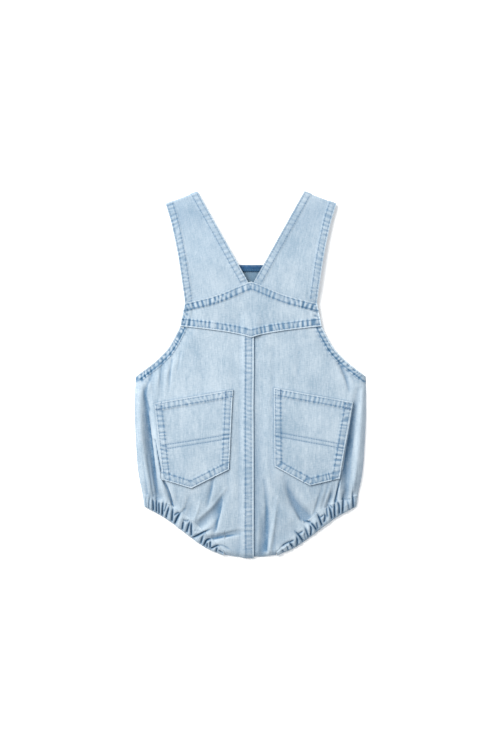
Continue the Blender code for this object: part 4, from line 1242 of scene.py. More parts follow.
class DUNGAREES_OT_straps(MakesCloth, Operator):
    """Make the two shoulder straps, folded at the shoulder"""

    bl_idname = "dungarees.straps"
    bl_label = "Straps"

    def execute(self, context):
        self.settings(context)
        for side in (-1, 1):
            self.strap(side)
        return {"FINISHED"}

    def strap(self, side):
        """One strap with its turned edges and their marks, and painted shade, more on the left strap and
        below the shoulder.
        """
        name = "strap_" + side_name(side)
        made_before(name + "_cloth")
        size = self.size
        back, fold, front = self.stretches(side)
        grid = np.vstack([back, fold, front])
        outer_edge, inner_edge = grid[:, 0], grid[:, -1]
        run = run_of(0.5 * (outer_edge + inner_edge))[:, None] * np.ones(grid.shape[1])
        width = np.linalg.norm(outer_edge - inner_edge, axis=-1)[:, None]
        from_outer = np.linalg.norm(grid - outer_edge[:, None], axis=-1)
        rise, wear = np.zeros(grid.shape[:2]), np.zeros(grid.shape[:2])
        for edge, gap in zip(STRAP_EDGES, (from_outer, width - from_outer)):
            inside = within(gap, size.hem_width)
            twist = rope(run, gap, edge.seed + side)
            grooves = hump(gap - NEAR_ROW, NEAR_GROOVE) + hump(gap - FAR_ROW, STRAP_GROOVE)
            rise += inside * (size.hem_rise + STRAP_PUCKER * twist) - GROOVE_DEPTH * grooves
            wear += inside * (edge.marks * (twist - STRAP_BLUER) - edge.tint) - STRAP_ROW_DARK * grooves
            wear += STRAP_EDGE_WEAR * hump(gap, STRAP_GROOVE)
        # Painted shade on the strap, all over and more below the shoulder
        tint = STRAP_SHADES[side]
        between = ease((np.minimum(from_outer, width - from_outer) - 0.6 * size.hem_width) / size.hem_width)
        shade = hump(grid[..., 1] - SHOULDER_SHADE_Y, SHOULDER_SHADE_REACH)
        wear -= tint.plain + tint.at_shoulder * between * shade
        row = np.arange(len(grid))
        rise *= ease((row - int(SEAM_LAP / size.grid)) / 3.0)[:, None]
        on_floor = row >= len(back) + len(fold) // 2
        rise[on_floor] = np.minimum(rise[on_floor], 0.0)
        normals = grid_normals(grid)
        flip = np.array([side, 1.0, 1.0])
        outer = grid + normals * rise[..., None]
        outer[..., 2] = np.maximum(outer[..., 2], 0.0)
        inner = (grid - normals * size.cloth) * flip
        weave = np.dstack([from_outer * side, -run])
        made = shell(name + "_cloth", outer * flip, inner, weave, wear, self.denim(), name)

    def stretches(self, side):
        """Points of the strap up the back, over the shoulder fold and down the front, as on the right."""
        step = self.size.grid
        steps = tuple(np.linspace(0.0, self.size.hem_width + HEM_STEP, HEM_ROWS))
        edges = []
        for line in (smooth(STRAP_OUTER, CURVE_POINTS), np.array(STRAP_INNER)):
            end = run_of(line)[-1] - STRAP_FOLD_RADIUS
            edges.append(points_at(line, np.linspace(0.0, end, int(STRAP_RUN / step))))
        back = ruled(edges[0], edges[1], steps, STRAP_MIDDLES)
        back_z = back_top(back[..., 0], back[..., 1]) + uneven(back[..., 0] * side, back[..., 1])
        near_fold = ease(np.linspace(0.0, 1.0, len(back)) * 12.0 - 11.0)[:, None]
        back_z = mix(back_z, 2.0 * STRAP_FOLD_RADIUS, near_fold)

        line = ruled(FOLD_OUTER[None], FOLD_INNER[None], steps, STRAP_MIDDLES)[0]
        line = line - STRAP_FOLD_RADIUS * FOLD_WAY
        fold = []
        for angle in np.linspace(0.0, math.pi, FOLD_ANGLES)[1:]:
            spots = line + STRAP_FOLD_RADIUS * math.sin(angle) * FOLD_WAY
            height = STRAP_FOLD_RADIUS * (1.0 + math.cos(angle))
            fold.append(np.column_stack([spots, np.full(len(spots), height)]))

        half_width = STRAP_END_WIDTH / 2
        edges = []
        for sign, fold_end in ((1, line[0]), (-1, line[-1])):
            full_width = STRAP_END + STRAP_END_CORNER * STRAP_WAY + sign * half_width * STRAP_ACROSS
            corner = STRAP_END + sign * (half_width - STRAP_END_CORNER) * STRAP_ACROSS
            bulge = sign * STRAP_ACROSS - STRAP_WAY
            rounded = [mix(full_width, corner, t) + 0.0010 * math.sin(math.pi * t) * bulge
                       for t in (0.33, 0.67, 1.0)]
            edges.append(np.vstack([even([fold_end, full_width], STRAP_FRONT_ROWS)[1:], rounded]))
        front = ruled(edges[0], edges[1], steps, STRAP_MIDDLES)
        front_z = strap_front_bottom(front[..., 0], front[..., 1])
        return np.dstack([back, back_z]), np.array(fold), np.dstack([front, front_z])


class DUNGAREES_OT_pockets(MakesCloth, Operator):
    """Make the two five-sided patch pockets from the panels under them"""

    bl_idname = "dungarees.pockets"
    bl_label = "Pockets"

    def execute(self, context):
        self.settings(context)
        for side in (-1, 1):
            self.pocket(side)
        return {"FINISHED"}

    def pocket(self, side):
        """One pocket, made from the points of the panel under it, moved out."""
        name = "pocket_" + side_name(side)
        made_before(name + "_cloth")
        size = self.size
        corner = pocket_corners(side)
        across_inner, across_outer = int(POCKET_INNER_RUN / size.grid), int(POCKET_OUTER_RUN / size.grid)
        bottom = np.vstack([
            even([corner["inner_bottom"], corner["point"]], across_inner),
            even([corner["point"], corner["outer_bottom"]], across_outer)[1:],
        ])
        shares = run_of(bottom) / run_of(bottom)[-1]
        width = np.linalg.norm(corner["outer_top"] - corner["inner_top"])
        top = points_at([corner["inner_top"], corner["outer_top"]], shares * width)
        down = int(POCKET_DOWN_RUN / size.grid)
        left = even([corner["inner_top"], corner["inner_bottom"]], down)
        right = even([corner["outer_top"], corner["outer_bottom"]], down)
        plan = patch(top, bottom, left, right)
        x, y = plan[..., 0], plan[..., 1]
        more, wear = over_all(pocket_bands(side, size.hem_width, 100 + 10 * side), x, y)
        turned = within(distance_to(pocket_outline(side), x, y), size.hem_width)
        hemmed = within(distance_to(top, x, y), size.hem_width)
        for share in POCKET_ROWS_AT:
            row = mix(top, bottom_level(corner, shares), share)
            groove = hump(distance_to(row, x, y), POCKET_ROW_WIDTH)
            more = more - POCKET_ROW_GROOVE * groove
            wear = wear - POCKET_ROW_DARK * groove
        fold = folds(x, y)[0]
        fold = np.where(fold > 0.0, POCKET_DIP * fold, fold)
        under = moved_out(np.dstack([x, y, back_top(x, y)]), uneven(x, y) - fold)
        under[..., 2] = kept_above_front(under[..., 2], 1.0, size.cloth)
        base = moved_out(under, SEAM_GAP + LAP_SLACK + POCKET_CLEARANCE)
        outer = moved_out(base, size.cloth + POCKET_EDGE_RISE * turned + POCKET_HEM_RISE * hemmed + more)
        # Painted shade in the pocket's hollows and painted highlight on its ridges
        wear = wear - POCKET_HOLLOW_SHADE * hollow(outer)
        made = shell(name + "_cloth", outer, base, plan, wear, self.denim(), name)
        "back_panel_" + side_name(side) + "_cloth"


def pocket_corners(side):
    """Where a pocket's corners are, by name."""
    corner = {}
    for key, row in POCKET_CORNERS.items():
        corner[key] = np.array([row.left_x, row.left_y] if side < 0 else [row.right_x, row.right_y])
    return corner


def pocket_outline(side):
    """The closed line round a pocket."""
    corner = pocket_corners(side)
    return np.array([corner[key] for key in (*POCKET_CORNERS, "inner_top")])


def bottom_level(corner, shares):
    """The pocket's straight bottom level, side to side, where its decorative rows are measured from."""
    return corner["inner_bottom"] + shares[:, None] * (corner["outer_bottom"] - corner["inner_bottom"])


def pocket_bands(side, width, seed):
    """The turned edges round a pocket, one band for each straight side."""
    outline, look = pocket_outline(side), POCKET_LOOKS[side]
    look = POCKET_LOOK._replace(marks=look.marks, dark=look.dark)
    edges = enumerate(zip(outline, outline[1:]))
    return [Band([first, last], width, seed + k, look) for k, (first, last) in edges]


class DUNGAREES_OT_casings(MakesCloth, Operator):
    """Make the gathered elastic casings of both legs, back and front"""

    bl_idname = "dungarees.casings"
    bl_label = "Leg casings"

    def execute(self, context):
        self.settings(context)
        for side in (-1, 1):
            self.back_half(side)
            self.front_half(side)
        return {"FINISHED"}

    def back_half(self, side):
        """The back half of one casing, gathered by the slits of the table."""
        name = "leg_casing_back_" + side_name(side)
        made_before(name + "_cloth")
        half = (side + 1) // 2
        place = np.linspace(0.0, 1.0, CASING_ACROSS)[:, None]
        outer, slit, crown = self.back_surface(side, place, 0.0)
        inner, _, _ = self.back_surface(side, place, CASING_WALL)
        inner[..., 2] = np.clip(outer[..., 2] - CASING_THINNEST, 0.0, inner[..., 2])
        columns = outer.shape[1]
        cloth_length = run_of(CASING_LINES[half])[-1] * CASING_FULLNESS
        run = np.linspace(0.0, cloth_length, columns) * np.ones((CASING_ACROSS, 1))
        weave = np.dstack([run, CASING_WIDTH * place * np.ones(columns)])
        fine = wander(run / CASING_THREAD_PITCH + 1.5 * place, 40 + half) * np.minimum(crown, 1.0)
        # Painted shade round and in the slits, painted highlight on the crowns
        halo = HALO_SHADE * (1.0 - crown) ** 0.7
        in_slit = CASING_SLIT_SHADE * np.minimum(slit / DARK_SLIT, 1.0) ** 1.4
        wear = CROWN_HIGHLIGHT * crown - CASING_TINT - halo - in_slit + CASING_THREADS * fine
        made = shell(name + "_cloth", outer, inner, weave, wear, self.denim(), name)
        "leg_casing_front_" + side_name(side) + "_cloth"

    def back_surface(self, side, place, start):
        """One side of the casing's wall: the gathered outer one, or the inner one, which starts later."""
        size, half = self.size, (side + 1) // 2
        seam_line, hem_line = CASING_LINES[half], HEM_LINES[half]
        seam_length, hem_length = run_of(seam_line)[-1], run_of(hem_line)[-1]
        share = np.linspace(start / seam_length, 1.0, int(seam_length / size.casing_grid))
        seam, hem = points_at(seam_line, share * seam_length), points_at(hem_line, share * hem_length)
        way = (hem - seam) / np.linalg.norm(hem - seam, axis=1)[:, None]
        seam = seam + CASING_GAP * way
        seam[:, 0] += side * 2.0 * CASING_GAP * ease(share)
        spots = mix(seam[None], hem[None], place[..., None])
        x, y = spots[..., 0], spots[..., 1]
        end = quarter_round((share * seam_length - start) / CASING_ROUND)
        end = end * mix(1.0, CROTCH_FLATTEN, ease(1.0 - (1.0 - share) * seam_length / CROTCH_END))
        inside, thickness, gather = (
            np.interp(place, [row.share for row in CASING_ROWS], [getattr(row, key) for row in CASING_ROWS])
            for key in ("inside", "thickness", "gather")
        )
        sink = CASING_SINK * crease_depth(x, y) * (1.0 - place) ** 1.3
        slit, crown = slits(x, y)
        if start:
            height = np.maximum(inside - sink, 1.1 * FRONT_CASING)
        else:
            edge = np.sqrt(1.0 - np.maximum(0.0, (place - 0.80) / 0.20) ** 2)
            height = inside + thickness * mix(0.45, 1.0, edge)
            height = height + size.gather_rise * gather * crown * mix(0.35, 1.0, edge)
            height = height + uneven(x, y) * (1.0 - place) ** 2 - sink - 0.8 * slit * mix(0.4, 1.0, edge)
            height = np.maximum(height, CASING_LEAST_AT_SEAM * (1.0 - place) + CASING_LEAST_AT_HEM * place)
            scallop = (SCALLOP_OUT * crown - SCALLOP_IN * (1.0 - crown)) * place**4
            spots = spots + way * scallop[..., None]
            spots[..., 1] -= GATHER_PUSH * (crown - PUSH_LEVEL) * (1.0 - place) ** 3 * end
        return np.dstack([spots, height * end]), slit, crown

    def front_half(self, side):
        """The front half, which is out of sight and flat on the floor."""
        name = "leg_casing_front_" + side_name(side)
        made_before(name + "_cloth")
        half, rows, columns = (side + 1) // 2, FRONT_CASING_ROWS, FRONT_CASING_COLUMNS
        seam, hem = (
            points_at(line, np.linspace(FRONT_CASING_INSET, run_of(line)[-1], columns))
            for line in (CASING_LINES[half], HEM_LINES[half])
        )
        way = (hem - seam) / np.linalg.norm(hem - seam, axis=1)[:, None]
        seam = seam + 2.0 * CASING_GAP * way
        share = np.linspace(0.0, 1.0, columns)
        wave = ripple(share, self.size.gathers, 51 + half)
        place = np.linspace(0.0, 1.0, rows)[:, None]
        spots = mix(seam[None], hem[None], place[..., None])
        spots = spots + way * (SCALLOP_OUT * (wave - 0.5) * place**4)[..., None]
        crown = FRONT_CASING * (0.55 + 0.45 * wave * np.sin(math.pi * np.clip(place, 0.12, 0.88)))
        low = np.dstack([spots, np.zeros(crown.shape)])
        high = np.dstack([spots, crown])
        weave = np.dstack([0.17 * share * np.ones((rows, 1)), CASING_WIDTH * place * np.ones(columns)])
        # Painted shade between the hidden gathers and painted highlight on their crowns
        wear = np.clip(0.2 - 1.2 * (1.0 - wave), -1.0, 0.4) * np.ones((rows, 1))
        made = shell(name + "_cloth", high, low, weave, wear, self.denim(), name)


class DUNGAREES_OT_front(MakesCloth, Operator):
    """Make the front with its bib, flat on the floor, and the hem along the bib's top"""

    bl_idname = "dungarees.front"
    bl_label = "Front and bib"

    def execute(self, context):
        self.settings(context)
        self.front()
        self.bib_hem()
        return {"FINISHED"}

    def front(self):
        """The front panel, of which only the top shows inside the neck."""
        made_before("front_panel_cloth")
        size, tones = self.size, self.colours
        step = size.grid * 2.0
        bib_line = smooth(BIB_SIDE, CURVE_POINTS)
        side_line = np.vstack([bib_line[-1], [(p.x - FRONT_INSET, p.y) for p in SIDE[1:]]])
        down_bib, down_side = int(BIB_RUN / step), int(FRONT_SIDE_RUN / step)
        edge = np.vstack([even(bib_line, down_bib), even(side_line, down_side)[1:]])
        seam = np.vstack([edge[-1], smooth(CASING_SEAM, CURVE_POINTS)[1:]])
        half = np.vstack([seam, [(p.x, p.y + FRONT_CROTCH_INSET) for p in CROTCH]])[::-1]
        across = 2 * int(FRONT_ACROSS_RUN / step) + 1
        top = even([(-BIB_SIDE[0].x, BIB_TOP), BIB_SIDE[0]], across)
        plan = patch(top, even(both_sides(half), across), mirrored(edge, -1), edge)
        x, y = plan[..., 0], plan[..., 1]
        bands = [
            Band([(-BIB_SIDE[0].x, BIB_TOP), BIB_SIDE[0]], BIB_HEM, 130, BIB_TOP_LOOK),
            Band(bib_line, size.hem_width, 131, BIB_SIDE_LOOK),
            Band(mirrored(bib_line, -1), size.hem_width, 132, BIB_SIDE_LOOK),
        ]
        more, wear = over_all(bands, x, y)
        low = np.dstack([plan, front_bottom(x, y, size.cloth)])
        high = low + size.cloth * UP
        high[..., 2] += np.maximum(more, 0.0) * (y < BIB_SIDES_SHOW_BELOW)
        look = denim("Denim inside", tones.inside_blue, tones.inside_pale, tones.inside_pale,
                     tones.denim_deep_and_shade, tones.denim_dark)
        wear = wear - FRONT_TINT
        made = shell("front_panel_cloth", high, low, plan, wear, look, "front_panel")

    def bib_hem(self):
        """The turned hem along the bib's top."""
        made_before("bib_hem_cloth")
        size, tones = self.size, self.colours
        columns = 2 * int(BIB_HEM_RUN / size.grid) + 1
        side_x = points_at(smooth(BIB_SIDE, CURVE_POINTS), [BIB_HEM])[0]
        first = even([(-BIB_SIDE[0].x, BIB_TOP), BIB_SIDE[0]], columns)
        last = even([(-side_x[0], side_x[1]), side_x], columns)
        plan = np.array([mix(first, last, t) for t in np.linspace(0.0, 1.0, BIB_HEM_ROWS)])
        x, y = plan[..., 0], plan[..., 1]
        down = BIB_TOP - y
        lower = np.dstack([plan, front_bottom(x, y, size.cloth) + size.cloth + SEAM_GAP + BIB_HEM_CLEARANCE])
        twist = rope(x + 0.07, down, 140)
        crown = BIB_HEM_PUCKER * twist - BIB_EDGE_FALL * hump(down, BIB_EDGE)
        upper = lower + (size.cloth + crown)[..., None] * UP
        wear = 0.25 - 1.2 * ease(down / BIB_HEM) + 0.2 * twist + 0.7 * np.exp(-down / BIB_EDGE)
        look = denim("Bib hem", tones.bib_hem, [BIB_HEM_SLUBS * c for c in tones.bib_hem], tones.inside_pale,
                     tones.denim_dark, tones.denim_dark)
        made = shell("bib_hem_cloth", upper, lower, plan, wear, look, "bib_hem")


class DUNGAREES_OT_buttons(Operator):
    """Make the two sew-through buttons that hold the straps, face down under them"""

    bl_idname = "dungarees.buttons"
    bl_label = "Buttons"
    bl_options = {"REGISTER", "UNDO"}

    def execute(self, context):
        look = button_finish("Button", context.scene.dungarees_colours.button)
        for side in (-1, 1):
            name = "button_" + side_name(side)
            made_before(name + "_turned")
            centre = leant([side * BUTTON_AT.x, BUTTON_AT.y, BUTTON_THICK / 2])
            bpy.ops.object.select_all(action="DESELECT")
            bpy.ops.mesh.primitive_cylinder_add(
                vertices=48, radius=BUTTON_RADIUS, depth=BUTTON_THICK, location=centre)
            turned = context.active_object
            turned.name = turned.data.name = name + "_turned"
            self.dish(turned)
            self.pierce(turned, centre)
            bevel = turned.modifiers.new("Rounded rim", "BEVEL")
            bevel.width, bevel.segments, bevel.limit_method = BUTTON_BEVEL, 3, "ANGLE"
            bevel.angle_limit = math.radians(40.0)
            bpy.ops.object.modifier_apply(modifier=bevel.name)
            bpy.ops.object.transform_apply(location=True, rotation=True, scale=True)
            turned.data.shade_smooth()
            turned.data.set_sharp_from_angle(angle=math.radians(35.0))
            turned.data.materials.append(look)
            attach(turned, "root")
            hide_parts(name)
        return {"FINISHED"}

    def dish(self, turned):
        """Sink the middle of the button's face, which is on its floor side."""
        bpy.ops.object.mode_set(mode="EDIT")
        bpy.ops.mesh.select_mode(type="FACE")
        bpy.ops.mesh.select_all(action="DESELECT")
        work = bmesh.from_edit_mesh(turned.data)
        for face in work.faces:
            face.select = face.normal.z < -0.9
        bmesh.update_edit_mesh(turned.data)
        bpy.ops.mesh.inset(thickness=BUTTON_RIM, depth=0.0)
        bpy.ops.mesh.inset(thickness=BUTTON_SLOPE, depth=-BUTTON_DISH)
        bpy.ops.object.mode_set(mode="OBJECT")

    def pierce(self, turned, centre):
        """Four holes for the thread."""
        for dx, dy in ((-1, -1), (-1, 1), (1, -1), (1, 1)):
            bpy.ops.object.select_all(action="DESELECT")
            away = BUTTON_HOLE_AT * np.array([dx, dy, 0.0])
            bpy.ops.mesh.primitive_cylinder_add(
                vertices=16, radius=BUTTON_HOLE, depth=3 * BUTTON_THICK, location=centre + away)
            drill = bpy.context.active_object
            bpy.ops.object.select_all(action="DESELECT")
            bpy.context.view_layer.objects.active = turned
            turned.select_set(True)
            cut = turned.modifiers.new("Hole", "BOOLEAN")
            cut.object, cut.solver = drill, "EXACT"
            bpy.ops.object.modifier_apply(modifier=cut.name)
            bpy.data.objects.remove(drill)


# ---- Stitching ----

ROW_END = 0.001


def offset_line(line, distance):
    """A line moved to its left by a distance."""
    line = np.asarray(line, float)
    way = np.gradient(line, axis=0)
    way /= np.linalg.norm(way, axis=1)[:, None]
    return line + distance * np.column_stack([-way[:, 1], way[:, 0]])


def trimmed(line, start, end):
    """A line without so much of its start and its end."""
    length = run_of(np.asarray(line, float))[-1]
    return points_at(line, np.linspace(start, length - end, ROW_POINTS))


def seam_rows():
    """Every row of stitches: the piece it lies on, and its line seen from above."""
    rows = []
    for side, hem in zip((-1, 1), ARMHOLE_LINES):
        hem = hem[hem[:, 1] < YOKE_BOTTOM[-1].y - ROW_END]
        for away in (NEAR_ROW, FAR_ROW):
            line = trimmed(offset_line(hem, side * -away), ROW_END / 2, 3 * ROW_END)
            rows.append(StitchRow("back_panel_" + side_name(side) + "_cloth", line, False))
    for x in (CENTRE_LAP_EDGE - CENTRE_NEAR_ROW, CENTRE_LAP_EDGE - CENTRE_FAR_ROW):
        line = even([(x - LEAN, YOKE_BOTTOM[0].y + 0.0005), (x, CROTCH[-1].y + 0.0015)], 200)
        rows.append(StitchRow("back_panel_left_cloth", line, False))
    for away in (NEAR_ROW, FAR_ROW):
        for half, way in ((YOKE_TOP, -1.0), (YOKE_BOTTOM, 1.0)):
            line = chevron(both_sides(smooth(half, CURVE_POINTS)), way * away)
            rows.append(StitchRow("back_yoke_cloth", trimmed(line, ROW_END, ROW_END), False))
    for side in (-1, 1):
        rows += strap_rows(side) + pocket_rows(side) + bar_tacks(side)
    y = BIB_TOP - BIB_HEM + 0.0016
    rows.append(StitchRow("bib_hem_cloth", even([(-0.060, y), (0.060, y)], ROW_POINTS), False))
    return rows


def chevron(line, away):
    """A pointed line moved up or down, measured square to its two halves."""
    middle = len(line) // 2
    moved = np.array(line)
    slope = np.gradient(line[:, 1], line[:, 0])
    slope[middle - 1: middle + 2] = slope[middle + 2]
    moved[:, 1] += away * np.sqrt(1.0 + slope**2)
    return moved


def strap_rows(side):
    """Two rows along each edge of a strap, up the back and down the front."""
    outer, inner = smooth(STRAP_OUTER, CURVE_POINTS), even(STRAP_INNER[1:], CURVE_POINTS)
    cloth = "strap_" + side_name(side) + "_cloth"
    rows = []
    for away in (NEAR_ROW, FAR_ROW):
        for line, way, start in ((outer, 1.0, 0.0115), (inner, -1.0, 0.003)):
            moved = trimmed(offset_line(line, way * away), start, 0.0010)
            rows.append(StitchRow(cloth, mirrored(moved, side), False))
    for sign, corner in ((1, FOLD_OUTER), (-1, FOLD_INNER)):
        for away in (NEAR_ROW, FAR_ROW):
            first = corner - sign * away * STRAP_ACROSS - 0.0035 * FOLD_WAY
            last = STRAP_END + 0.0045 * STRAP_WAY + sign * (STRAP_END_WIDTH / 2 - away) * STRAP_ACROSS
            rows.append(StitchRow(cloth, mirrored(even([first, last], ROW_POINTS), side), True))
    return rows


def pocket_rows(side):
    """Two rows round the pocket, two along its hem, and the decorative pair across it."""
    corner = pocket_corners(side)
    cloth = "pocket_" + side_name(side) + "_cloth"
    order = ("inner_top", "inner_bottom", "point", "outer_bottom", "outer_top")
    loop = np.array([corner[key] for key in order])
    rows = []
    for away in (NEAR_ROW, FAR_ROW - 0.0004):
        inset = inset_loop(loop, away)
        rows.append(StitchRow(cloth, trimmed(inset, ROW_END, ROW_END), False))
        down = unit(corner["inner_bottom"] - corner["inner_top"]) * away
        in_by = unit(inset[-1] - inset[0]) * 0.0012
        hem = [corner["inner_top"] + down + in_by, corner["outer_top"] + down - in_by]
        rows.append(StitchRow(cloth, even(hem, 60), False))
    for share in POCKET_ROWS_AT:
        left = mix(corner["inner_top"], corner["inner_bottom"], share)
        right = mix(corner["outer_top"], corner["outer_bottom"], share)
        in_by = unit(right - left) * 0.0015
        rows.append(StitchRow(cloth, even([left + in_by, right - in_by], 60), False))
    return rows


def bar_tacks(side):
    """Short dense bars at the pocket's mouth: a level one at its outer end, an upright one at its inner."""
    corner = pocket_corners(side)
    mouth = unit(corner["outer_top"] - corner["inner_top"])
    level = corner["outer_top"] + (corner["outer_bottom"] - corner["outer_top"]) * 0.092 - mouth * 0.0089
    upright = corner["inner_top"] + mouth * FAR_ROW
    rows = []
    for start, way in ((level, mouth), (upright, unit(corner["inner_bottom"] - corner["inner_top"]))):
        for k in range(TACK_ROWS):
            line = np.array([start, start + way * TACK_LENGTH]) + way * 0.0007 * (k % 2)
            line = line + (k - TACK_ROWS / 2) * TACK_PITCH * np.array([-way[1], way[0]])
            rows.append(StitchRow("pocket_" + side_name(side) + "_cloth", line, False))
    return rows


def inset_loop(loop, away):
    """An open outline moved towards its middle, square to each of its edges."""
    middle, normals = loop.mean(axis=0), []
    for a, b in zip(loop, loop[1:]):
        normal = unit([a[1] - b[1], b[0] - a[0]])
        normals.append(normal * (1.0 if np.dot(middle - a, normal) > 0 else -1.0))
    points = [loop[0] + normals[0] * away]
    for spot, a, b in zip(loop[1:], normals, normals[1:]):
        points.append(spot + away * (a + b) / (1.0 + np.dot(a, b)))
    points.append(loop[-1] + normals[-1] * away)
    return np.array(points)


StitchRing = namedtuple("StitchRing", "along lift swell")
STITCH_RINGS = (
    StitchRing(0.00, -0.20, 0.35),
    StitchRing(0.18, 0.30, 0.95),
    StitchRing(0.50, 0.42, 1.00),
    StitchRing(0.82, 0.30, 0.95),
    StitchRing(1.00, -0.20, 0.35),
)


def stitch_faces():
    """The faces of a stitch with four points round each of its rings, closed at both ends."""
    quads = []
    for ring in range(0, 4 * (len(STITCH_RINGS) - 1), 4):
        for k in range(4):
            a, b = ring + k, ring + (k + 1) % 4
            quads.append([a, b, b + 4, a + 4])
    tail = 4 * (len(STITCH_RINGS) - 1)
    return np.array([*quads, [3, 2, 1, 0], [tail, tail + 1, tail + 2, tail + 3]])


STITCH_FACES = stitch_faces()


class DUNGAREES_OT_stitches(Operator):
    """Sew every seam with separate stitches that lie on the cloth"""

    bl_idname = "dungarees.stitches"
    bl_label = "Stitching"
    bl_options = {"REGISTER", "UNDO"}

    def execute(self, context):
        size = context.scene.dungarees_stitch
        look = thread_finish("Thread", context.scene.dungarees_colours.thread)
        threads = {}
        for row in seam_rows():
            threads.setdefault(row.cloth, []).append(row)
        for cloth, rows in threads.items():
            name = cloth.replace("_cloth", "_stitches")
            made_before(name)
            piece = bpy.data.objects.get(cloth)
            if piece is None:
                raise RuntimeError(f"Make {cloth} before its stitches")
            tree = BVHTree.FromPolygons([v.co[:] for v in piece.data.vertices],
                                        [p.vertices[:] for p in piece.data.polygons])
            points, faces = [], []
            for row in rows:
                self.sew(row, tree, size, points, faces)
            if not points:
                raise RuntimeError(f"No stitch of {name} lies on its cloth: {rows[0].line[:3]}")
            mesh = bpy.data.meshes.new(name)
            mesh.from_pydata(np.concatenate(points), [], np.concatenate(faces).tolist())
            mesh.shade_smooth()
            mesh.materials.append(look)
            made = bpy.data.objects.new(name, mesh)
            context.scene.collection.objects.link(made)
            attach(made, "root")
        return {"FINISHED"}

    def sew(self, row, tree, size, points, faces):
        """Lay one row of stitches on the cloth: each dips into it at both ends."""
        line = leant(np.column_stack([row.line, np.zeros(len(row.line))]))[:, :2]
        pitch = size.length + size.gap
        for number in range(int(run_of(line)[-1] / pitch)):
            start = number * pitch + 0.5 * size.gap
            along = start + np.array([ring.along for ring in STITCH_RINGS]) * size.length
            hits = [self.surface(tree, spot, row.below) for spot in points_at(line, along)]
            if any(hit is None for hit in hits):
                continue
            rings = [(place + normal * (ring.lift * size.thread), normal, ring.swell * size.thread / 2)
                     for (place, normal), ring in zip(hits, STITCH_RINGS)]
            way = unit(rings[-1][0] - rings[0][0])
            stitch = []
            for place, normal, radius in rings:
                across = unit(np.cross(way, normal))
                stitch += [place + across * radius, place + normal * radius * 0.8,
                           place - across * radius, place - normal * radius * 0.8]
            stitch = np.array(stitch)
            stitch[:, 2] = np.maximum(stitch[:, 2], 0.0)
            faces.append(STITCH_FACES + sum(len(block) for block in points))
            points.append(stitch)

    def surface(self, tree, spot, below):
        """The cloth's surface at a place: its upper side, or its lower one where it faces the floor."""
        start, way = (-0.01, 1.0) if below else (0.05, -1.0)
        place, normal, _, _ = tree.ray_cast(Vector((*spot, start)), Vector((0.0, 0.0, way)))
        if place is None:
            return None
        normal = np.array(normal)
        if (normal[2] > 0) == below:
            normal = -normal
        return np.array(place), normal


# ---- Studio ----

FLOOR_SIZE = 6.0
FLOOR_BELOW = 0.0004
SKY_COLOUR = (0.965, 1.0, 1.04, 1.0)
KEY_COLOUR = (1.035, 1.0, 0.96)
KEY_AT = (-0.95, 0.98, 1.35)
KEY_SIZE = 1.3
SENSOR = 36.0
CAMERA_OVER = (-0.00035, -0.0006)


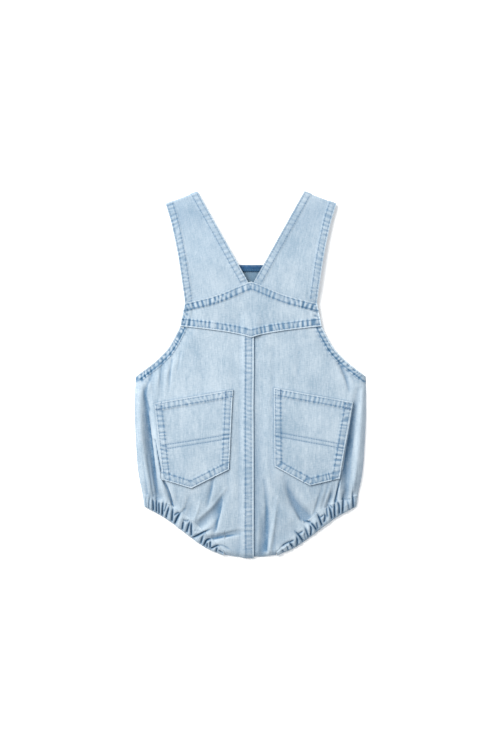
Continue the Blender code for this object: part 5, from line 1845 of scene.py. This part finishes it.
class DUNGAREES_OT_studio(Operator):
    """Set the pale floor, the soft light and the camera above the garment"""

    bl_idname = "dungarees.studio"
    bl_label = "Studio"
    bl_options = {"REGISTER", "UNDO"}

    def execute(self, context):
        studio = context.scene.dungarees_studio
        for name in ("floor", "Key light", "Camera"):
            made_before(name)
        bpy.ops.object.select_all(action="DESELECT")
        bpy.ops.mesh.primitive_plane_add(size=FLOOR_SIZE, location=(0.0, 0.0, -FLOOR_BELOW))
        floor = context.active_object
        floor.name = floor.data.name = "floor"
        bpy.ops.object.transform_apply(location=True, rotation=True, scale=True)
        floor.data.materials.append(floor_finish("Floor", studio.floor))

        world = context.scene.world or bpy.data.worlds.new("Studio")
        context.scene.world = world
        world.use_nodes = True
        sky = world.node_tree.nodes["Background"]
        sky.inputs["Color"].default_value = SKY_COLOUR
        sky.inputs["Strength"].default_value = studio.sky

        key = bpy.data.lights.new("Key light", "AREA")
        key.shape, key.size, key.energy, key.color = "SQUARE", KEY_SIZE, studio.key_power, KEY_COLOUR
        lamp = bpy.data.objects.new("Key light", key)
        lamp.location = KEY_AT
        lamp.rotation_euler = (-lamp.location).to_track_quat("-Z", "Y").to_euler()
        context.scene.collection.objects.link(lamp)

        camera = bpy.data.cameras.new("Camera")
        camera.sensor_fit, camera.sensor_height = "VERTICAL", SENSOR
        camera.lens = SENSOR * studio.camera_height / studio.picture_height
        camera.clip_start, camera.clip_end = 0.05, 20.0
        above = bpy.data.objects.new("Camera", camera)
        above.location = (*CAMERA_OVER, studio.camera_height)
        context.scene.collection.objects.link(above)
        context.scene.camera = above
        context.scene.view_settings.view_transform = "Standard"
        return {"FINISHED"}


class DUNGAREES_PT_sidebar(Panel):
    """Lists the garment's settings and the pieces to make"""

    bl_idname = "DUNGAREES_PT_sidebar"
    bl_label = "Dungarees"
    bl_space_type = "VIEW_3D"
    bl_region_type = "UI"
    bl_category = "Dungarees"

    def draw(self, context):
        """The settings in boxes, then a button for each piece."""
        for group in GROUPS:
            box = self.layout.box()
            settings = getattr(context.scene, group)
            for key in settings.bl_rna.properties.keys():
                if key not in ("rna_type", "name"):
                    box.prop(settings, key)
        for operator in OPERATORS:
            self.layout.operator(operator.bl_idname)


GROUPS = {
    "dungarees_cloth": ClothSettings,
    "dungarees_stitch": StitchSettings,
    "dungarees_colours": ColourSettings,
    "dungarees_studio": StudioSettings,
}
OPERATORS = (
    DUNGAREES_OT_studio,
    DUNGAREES_OT_back,
    DUNGAREES_OT_yoke,
    DUNGAREES_OT_straps,
    DUNGAREES_OT_pockets,
    DUNGAREES_OT_casings,
    DUNGAREES_OT_front,
    DUNGAREES_OT_buttons,
    DUNGAREES_OT_stitches,
)


def register():
    for kind in (*GROUPS.values(), *OPERATORS, DUNGAREES_PT_sidebar):
        bpy.utils.register_class(kind)
    for name, kind in GROUPS.items():
        setattr(bpy.types.Scene, name, PointerProperty(type=kind))


def unregister():
    for name in GROUPS:
        delattr(bpy.types.Scene, name)
    for kind in reversed((*GROUPS.values(), *OPERATORS, DUNGAREES_PT_sidebar)):
        bpy.utils.unregister_class(kind)


def main():
    register()
    bpy.ops.dungarees.studio()
    bpy.ops.dungarees.back()
    bpy.ops.dungarees.yoke()
    bpy.ops.dungarees.straps()
    bpy.ops.dungarees.pockets()
    bpy.ops.dungarees.casings()
    bpy.ops.dungarees.front()
    bpy.ops.dungarees.buttons()
    bpy.ops.dungarees.stitches()


if __name__ == "__main__":
    main()
